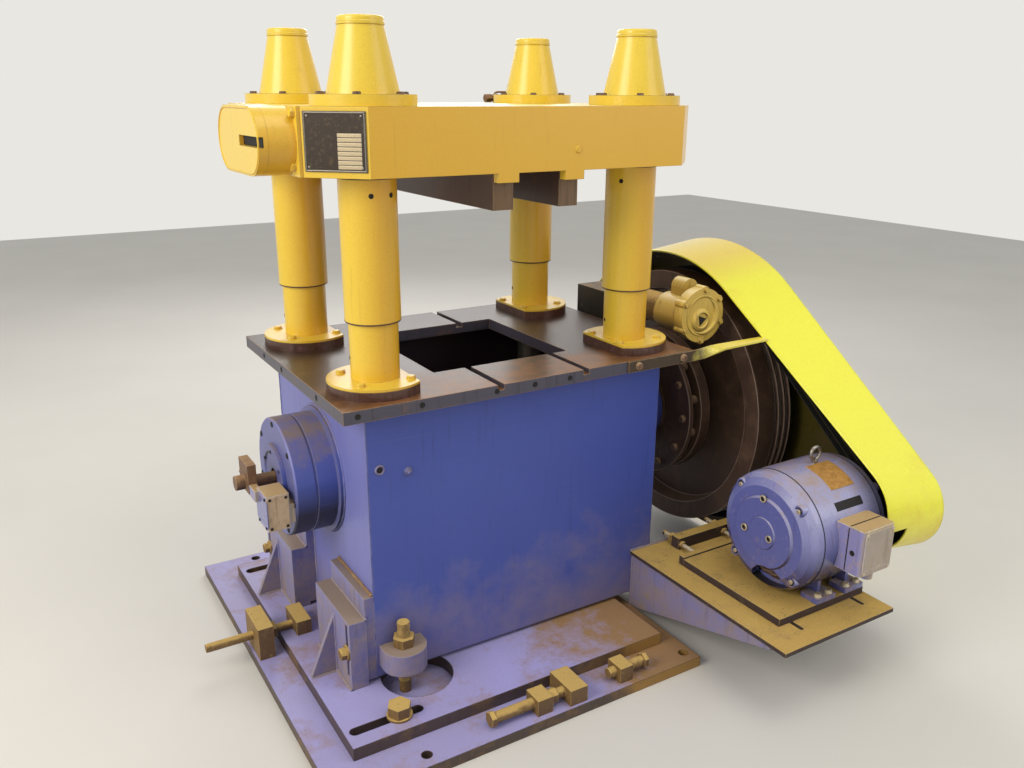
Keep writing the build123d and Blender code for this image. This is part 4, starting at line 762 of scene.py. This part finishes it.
def buildMotor(w):
    y, z, r = w["y"], w["z"], w["barrel"]
    lugs, bolts, wells = [], [], []
    lug = turned([(0, -38), (17, -38), (18, -20), (17, -4), (15, 0), (11, 0), (10, -5), (0, -5)])
    well = turned([(0, -5), (11.5, -4.5), (11.5, -1), (9, -1), (9, -3), (0, -3)])
    for x, side in ((w["front"] + w["lugIn"], -1), (w["back"] - w["lugIn"], 1)):
        spots = onCircle((x, y, z), w["lugCircle"], w["lugAngles"], "x")
        lugs.append(spread(lug, spots, (side, 0, 0)))
        wells.append(spread(well, spots, (side, 0, 0)))
        bolts.append(spread(hexHead(*w["lugBolt"]), spots - [3 * side, 0, 0], (side, 0, 0), 20))
    makePiece("motor_bell_lugs", lugs, "motorEnamel")
    spots = [(w["front"], y + a, z + b) for a, b in w["plugs"]]
    ring = turned([(7, -1), (11, -1), (11, 1.5), (9.5, 3), (7, 3), (6.5, 0.5), (7, -1)])
    makePiece("motor_plug_rings", [spread(ring, spots, left)], "brightStud")
    wells.append(spread(socketHead(*w["plugSocket"]), spots, left))
    makePiece("motor_dark_wells", wells, "paintedShadeBlack")
    makePiece("motor_bell_bolts", bolts, "brightStud")
    makePiece("motor_bare_plate", [barrelPatch(w, *w["plate"])], "dustyPlate")
    makePiece("motor_slot", [barrelPatch(w, *w["slot"])], "paintedShadeBlack")
    feet = [(x, y + s * w["feetOut"], w["feetTop"]) for x in w["feetX"] for s in (-1, 1)]
    makePiece("motor_foot_bolts", boltSet(feet, w["footBolt"], spin=11), "brightStud")
    # copper windings: a ring of coil ends inside each bell; at angle a a round section moves out by |sin 12 a|
    a, section = roundTurn(144), np.radians(np.arange(0, 360, 45))[:, None]
    out = w["coil"] + w["wire"] * np.sin(section) + w["swell"] * np.abs(np.sin(12 * a))
    ring = np.stack([w["wire"] * np.cos(section) + 0 * a, out * np.cos(a), out * np.sin(a)], -1)
    corners, faces = wrapGrid(np.concatenate([ring, ring[:1]]))
    windings = [(corners + [x, y, z], faces) for x in w["coilX"]]
    disc = turned([(0, 0), (140, 0), (140, 4), (0, 4)], 48)
    windings += [spread(disc, (x, y, z), right) for x in w["discX"]]
    makePiece("motor_windings", windings, "dustyIron")
    seam = turned([(r - 3, -1), (r + 0.5, -0.9), (r + 0.5, 0.9), (r - 3, 1), (r - 3, -1)], 72)
    makePiece("motor_seams", [spread(seam, [(x, y, z) for x in w["seamX"]], right)], "beltRubber")


buildMotor(motor)

# foot brackets: a bolt with its washer in each slot, painted beads round the plates, a dusty bead on each pad
brackets = dict(
    face=-532, slotY=332, boltTop=170, bolt=(28, 17, 21, 5), floor=65, outerY=353, innerY=105, ribY=242, ribHalf=6,
    ribTip=-604, ribTop=238, padFace=-485, wall=-458, wallFoot=80, padTop=318, padOuterY=343, top=262)


def buildBrackets(w):
    spots = [(w["face"], s * w["slotY"], w["boltTop"]) for s in (-1, 1)]
    makePiece("bracket_bolts", boltSet(spots, w["bolt"], left, 14, 4), "rustySteel")
    face, low, wall, pad = w["face"], w["floor"], w["wall"], w["padFace"]
    painted, dustAndLightMask = [], []
    for s in (-1, 1):
        a, b = s * w["innerY"], s * w["outerY"]
        painted += [bead([(face, a, low), (face, b, low)], 5, 7),
                    bead([(pad, a, w["top"]), (pad, b, w["top"])], 4, 6),
                    bead([(wall, a, w["wallFoot"]), (wall, a, w["padTop"])], 4, 6, up=(1, 0, 0))]
        dustAndLightMask.append(bead([(wall - 3, a, w["padTop"]), (wall - 3, s * w["padOuterY"], w["padTop"])], 6, 9))
        for y in (s * w["ribY"] - w["ribHalf"], s * w["ribY"] + w["ribHalf"]):
            painted += [bead([(face, y, low), (w["ribTip"], y, low)], 4, 6),
                        bead([(face, y, low), (face, y, w["ribTop"])], 4, 6, up=(1, 0, 0))]
    makePiece("bracket_welds", painted, "greyedBlueEnamel")
    makePiece("pad_welds", dustAndLightMask, "brownedSteel")


buildBrackets(brackets)

# motor shelf: beads at the wall and along the gussets, nuts and threads of the two tension screws; a screw is its
# nut's flats and height, and its thread's radius, depth, pitch and length
shelfParts = dict(
    x=(383, 801), gussetX=(393, 791), wallY=-345, top=218, under=206, foot=24, tip=-900, studX=(526, 700),
    studZ=240.2, frontZ=234.2, railY=(-416, -382), nut=(26, 13), thread=(8.8, 1.2, 2.6, 38), frontNut=(20, 10),
    frontThread=(6.8, 1.0, 2.4, 62))


def buildShelfParts(w):
    y, under, (x0, x1) = w["wallY"], w["under"], w["x"]
    welds = [bead([(x0, y, w["top"]), (x1, y, w["top"])], 5, 7)]
    for x in w["gussetX"]:
        welds += [bead([(x, y, w["foot"]), (x, y, under)], 4, 6, up=(1, 0, 0)),
                  bead([(x, y, under), (x, w["tip"], under)], 3.5, 6)]
    makePiece("shelf_welds", welds, "greyedBlueEnamel")
    front, back = w["railY"]
    behind, before = ([(x, y, z) for x in w["studX"]] for y, z in ((back, w["studZ"]), (front, w["frontZ"])))
    studs = [spread(threaded(*w["thread"]), behind, aft), spread(threaded(*w["frontThread"]), before, forth)]
    makePiece("tension_threads", studs, "brightStud")
    nuts = [spread(hexHead(*w["nut"]), behind, aft, 10), spread(hexHead(*w["frontNut"]), before, forth, 25)]
    makePiece("tension_nuts", nuts, "rustySteel")


buildShelfParts(shelfParts)

# guard: a rolled lip round the near edge of the sheet, hexagon bolts round its far side, bolts of the strap.
# The lip follows the outline that a tight band would take round two circles; a circle is its y, z and radius.
guard = dict(
    nearX=770, farX=1002, big=(0, 552, 503), small=(-796, 466, 140), tangent=123.1, start=-13.8, end=194.0, lip=3.2,
    boltCircle=512, boltAngles=(-8, 14, 36, 58, 80, 102, 122), bolt=(16, 7, 11, 2),
    strapBolts=((330, -406, 834), (492, -406, 834)), strapBolt=(18, 8, 12, 2))


def buildGuard(w):
    arcs = ((w["big"], w["start"], w["tangent"], 60), (w["small"], w["tangent"], w["end"], 24))
    line = np.concatenate([onCircle((w["nearX"], y, z), r, np.linspace(a, b, count), "x")
                           for (y, z, r), a, b, count in arcs])
    makePiece("guard_rolled_lip", [tube(evenly(line, 14)[1], w["lip"], up=(1, 0, 0))], "lemonEnamel")
    spots = onCircle((w["farX"], *w["big"][:2]), w["boltCircle"], w["boltAngles"], "x")
    makePiece("guard_side_bolts", boltSet(spots, w["bolt"], right), "lemonEnamel")
    makePiece("strap_bolts", boltSet(w["strapBolts"], w["strapBolt"], forth, 8), "brownedSteel")


buildGuard(guard)

# clutch: bolts on its near face, studs with springs between the disc and the drum
clutch = dict(
    face=684, gap=(699, 735), height=552, boltCircle=214, studCircle=217, bolts=12, bolt=(19, 10, 13, 2.5), stud=8,
    coil=12, wire=2.4, turns=5)


def buildClutch(w):
    turns = np.arange(w["bolts"]) * 360 / w["bolts"]
    spots = onCircle((w["face"], 0, w["height"]), w["boltCircle"], turns, "x")
    makePiece("clutch_bolts", boltSet(spots, w["bolt"], left), "brownedSteel", "flywheel")
    # a spring: x and y are the cosine and sine of its angle, z grows evenly with it
    near, far = w["gap"]
    spots = onCircle((near, 0, w["height"]), w["studCircle"], turns + 15, "x")
    way = np.linspace(0, 1, 121)
    a = 2 * np.pi * w["turns"] * way
    spring = np.stack([w["coil"] * np.cos(a), w["coil"] * np.sin(a), way * (far - near - 4) + 2], -1)
    stud = turned([(0, 0), (w["stud"], 0), (w["stud"], far - near), (0, far - near)], 12)
    makePiece("clutch_springs", [spread(tube(spring, w["wire"], sides=6), spots, right), spread(stud, spots, right)],
              "brownedSteel", "flywheel")


buildClutch(clutch)

# switch box: a lid on its end and a tan cover plate on its front, with screws
switchBox = dict(x=(-660, -600), y=(-150, -70), z=(467, 566), lid=2.0, screw=(4, 1.5), screwIn=9)


def buildSwitchBox(w):
    (x0, x1), (y0, y1), (z0, z1), t, k = w["x"], w["y"], w["z"], w["lid"], w["screwIn"]
    x, y, z = (x0 + x1) / 2, (y0 + y1) / 2, (z0 + z1) / 2
    rows = [(0, -0.5), (0, t - 0.6), (0.8, t)]
    lid, cover = slab(y1 - y - 2, z1 - z - 2, 6, rows), slab(x1 - x - 2, z1 - z - 2, 5, rows)
    makePiece("switch_lid", [spread(lid, (x0, y, z), left)], "motorEnamel")
    makePiece("switch_cover", [spread(cover, (x, y0, z), forth)], "tanCoverPaint")
    ends = [(x0 - t, b, c) for b in (y0 + k, y1 - k) for c in (z0 + k, z1 - k)]
    fronts = [(b, y0 - t, c) for b in (x0 + k, x1 - k) for c in (z0 + k, z1 - k)]
    screw = socketHead(*w["screw"])
    makePiece("switch_screws", [spread(screw, ends, left), spread(screw, fronts, forth)], "beltRubber")


buildSwitchBox(switchBox)

# wiring box of the motor: a lid with rounded corners and four screws, a dark seam round the box, a near-black
# disc as painted shade of a blind hole, and bright chipped beads on its upper edges
wiringBox = dict(
    x=(622, 745), front=-975, z=(365, 493), lid=2.5, screw=(4.5, 2), screwIn=7, seam=-928, seamOut=0.6,
    seamRadius=1.4, corner=4, knockout=(-945, 424, 7.5))


def buildWiringBox(w):
    (x0, x1), (z0, z1), t, front = w["x"], w["z"], w["lid"], w["front"]
    halfX, halfZ = (x1 - x0) / 2 - 6, (z1 - z0) / 2 - 3
    x, z = (x0 + x1) / 2, (z0 + z1) / 2
    lid = slab(halfX, halfZ, 12, [(0, -0.5), (0, t - 1), (1, t), (9, t), (11, t - 1.2)])
    makePiece("wiring_lid", [spread(lid, (x, front, z), forth)], "greyBoxPaint")
    a, b, r, seam = x0 - w["seamOut"], x1 + w["seamOut"], w["corner"], w["seam"]
    low, high = z0 - w["seamOut"], z1 + w["seamOut"]
    ring = [(a, seam, z0 + r), (a, seam, z1 - r), (x0 + r, seam, high), (x1 - r, seam, high), (b, seam, z1 - r),
            (b, seam, z0 + r), (x1 - r, seam, low), (x0 + r, seam, low), (a, seam, z0 + r)]
    bar = tube(evenly(ring, 6)[1], w["seamRadius"], sides=6, up=(0, 1, 0))
    makePiece("wiring_seam", [bar], "paintedShadeBlack")
    holeY, holeZ, r = w["knockout"]
    hole = turned([(0, -0.5), (r, -0.5), (r, 0.7), (r - 1.5, 1.2), (r - 2.5, 0.4), (0, 0.4)])
    makePiece("wiring_knockout", [spread(hole, (x0, holeY, holeZ), left)], "paintedShadeBlack")
    top = z1 - 0.5
    chips = [bead([(x0 + 10, front + 2, top), (x1 - 10, front + 2, top)], 3.2, 23),
             bead([(x0 + 2, front + 12, top), (x0 + 2, seam - 4, top)], 2.6, 17)]
    makePiece("wiring_chipped_rim", chips, "brightStud")
    spots = [(x + sx * (halfX - w["screwIn"]), front - t + 0.2, z + sz * (halfZ - w["screwIn"]))
             for sx in (-1, 1) for sz in (-1, 1)]
    makePiece("wiring_screws", [spread(socketHead(*w["screw"]), spots, forth)], "brightStud")


buildWiringBox(wiringBox)

# threads on the adjusting screws and the jacks: each run is its radius, length, places and way
screwThreads = dict(
    pitch=3.5, depth=1.6,
    runs=((15.2, 150, (-262, -622, 54), right), (15.2, 100, (102, -622, 54), right), (13.2, 120, (-693, 15, 78), left),
          (17.2, 44, ((-390, -372, 66), (-390, 372, 66)), above),
          (17.2, 40, ((-390, -372, 197), (-390, 372, 197)), above)))


def buildThreads(w):
    shapes = [spread(threaded(radius, w["depth"], w["pitch"], length), places, way)
              for radius, length, places, way in w["runs"]]
    makePiece("screw_threads", shapes, "rustySteel")


buildThreads(screwThreads)

# air valve: bolts on its ears, a cast rim, boss and lip on its face, a near-black port as painted shade of its
# opening, threads on the nipple behind it
valve = dict(
    x=655, z=916, face=-300, circle=78, angles=(35, 85, 150, 210, 270, 340), bolt=(14, 7, 10, 1.5), lipCircle=54,
    lipAngles=(-120, 62), lip=(1, 9), port=(649, 903), nippleX=640, nippleZ=908, nippleY=(-160, -62), nipple=46,
    thread=3.0, pitch=8.0)


def buildValve(w):
    x, z, face, portX, portZ = w["x"], w["z"], w["face"], *w["port"]
    spots = onCircle((x, face, z), w["circle"], w["angles"], "y")
    makePiece("valve_bolts", boltSet(spots, w["bolt"], forth, 20), "greasyYellowEnamel")
    rim = turned([(60, -2), (64, 0.4), (63, 1.6), (60, 2.2), (57, 1.4), (55, 0.2), (50, -2), (60, -2)], 56)
    # a cast lip that rises round the lower right of the face: its radius grows with a sine from one end to the other
    line = onCircle((x, face, z), w["lipCircle"], np.linspace(*w["lipAngles"], 40), "y")
    thin, swell = w["lip"]
    lip = tube(line, thin + swell * np.sin(np.linspace(0, np.pi, 40)), up=(0, 1, 0))
    boss = turned([(0, -2), (36, -2), (35, 3), (30, 6), (24, 7), (21, 3), (0, 3)], 40)
    makePiece("valve_casting", [spread(rim, (x, face, z), forth), spread(boss, (portX, face, portZ), forth), lip],
              "greasyYellowEnamel")
    port = turned([(0, 2.5), (19, 2.5), (19, 4), (17, 4.6), (0, 4.6)], 3)
    makePiece("valve_port", [spread(port, (portX, face, portZ), forth, 10)], "paintedShadeBlack")
    y0, y1 = w["nippleY"]
    coil = threaded(w["nipple"] + 1.2, w["thread"], w["pitch"], y1 - y0, 40)
    makePiece("nipple_thread", [spread(coil, (w["nippleX"], y0, w["nippleZ"]), aft)], "rustySteel")


buildValve(valve)

# end housing: a rim bead round its lid and a near-black slab on the slot floor as painted shade
endCap = dict(
    face=-644, y=-115, middle=1447.5, depth=336, high=151, rimIn=5, rim=2.2, slot=(-282, -132), slotHigh=21,
    slotFloor=-633.5)


def buildEndCap(w):
    # the rim's line: two half circles, joined by straight runs
    r, half = w["high"] / 2 - w["rimIn"], (w["depth"] - w["high"]) / 2
    ends = [onCircle((w["face"], w["y"] + s * half, w["middle"]), r, np.linspace(-90, 90, 25) + 90 * (1 - s), "x")
            for s in (1, -1)]
    rim = tube(evenly(np.concatenate([*ends, ends[0][:2]]), 10)[1], w["rim"], sides=8, up=(1, 0, 0))
    makePiece("end_cap_rim", [rim], "mustardEnamel", "press_slide")
    a, b = w["slot"]
    slotShade = slab(w["slotHigh"] / 2, (b - a) / 2, 2, [(0, -1), (0, 1.2), (0.4, 1.6)])
    makePiece("end_slot_shade", [spread(slotShade, (w["slotFloor"], (a + b) / 2, w["middle"]), left)], "paintedShadeBlack",
              "press_slide")


buildEndCap(endCap)

# hidden walls: plugs on the back like the one on the front, cover bolts on the right end
backWall = dict(
    plugs=((-426, 345, 664), (-350, 345, 645)), coverX=458, coverBolt=(24, 12),
    coverSpots=((-300, 700), (-300, 200), (300, 700), (300, 200)))


def buildBackWall(w):
    plug = turned([(0, -1), (11, -1), (11, 1), (9.5, 2.5), (6, 3), (5, 1.6), (0, 1.6)])
    spots = [(w["coverX"], y, z) for y, z in w["coverSpots"]]
    makePiece("back_plugs", [spread(plug, w["plugs"], aft), spread(hexHead(*w["coverBolt"]), spots, right)],
              "machineBlueEnamel")


buildBackWall(backWall)
print("stage: pieces built")
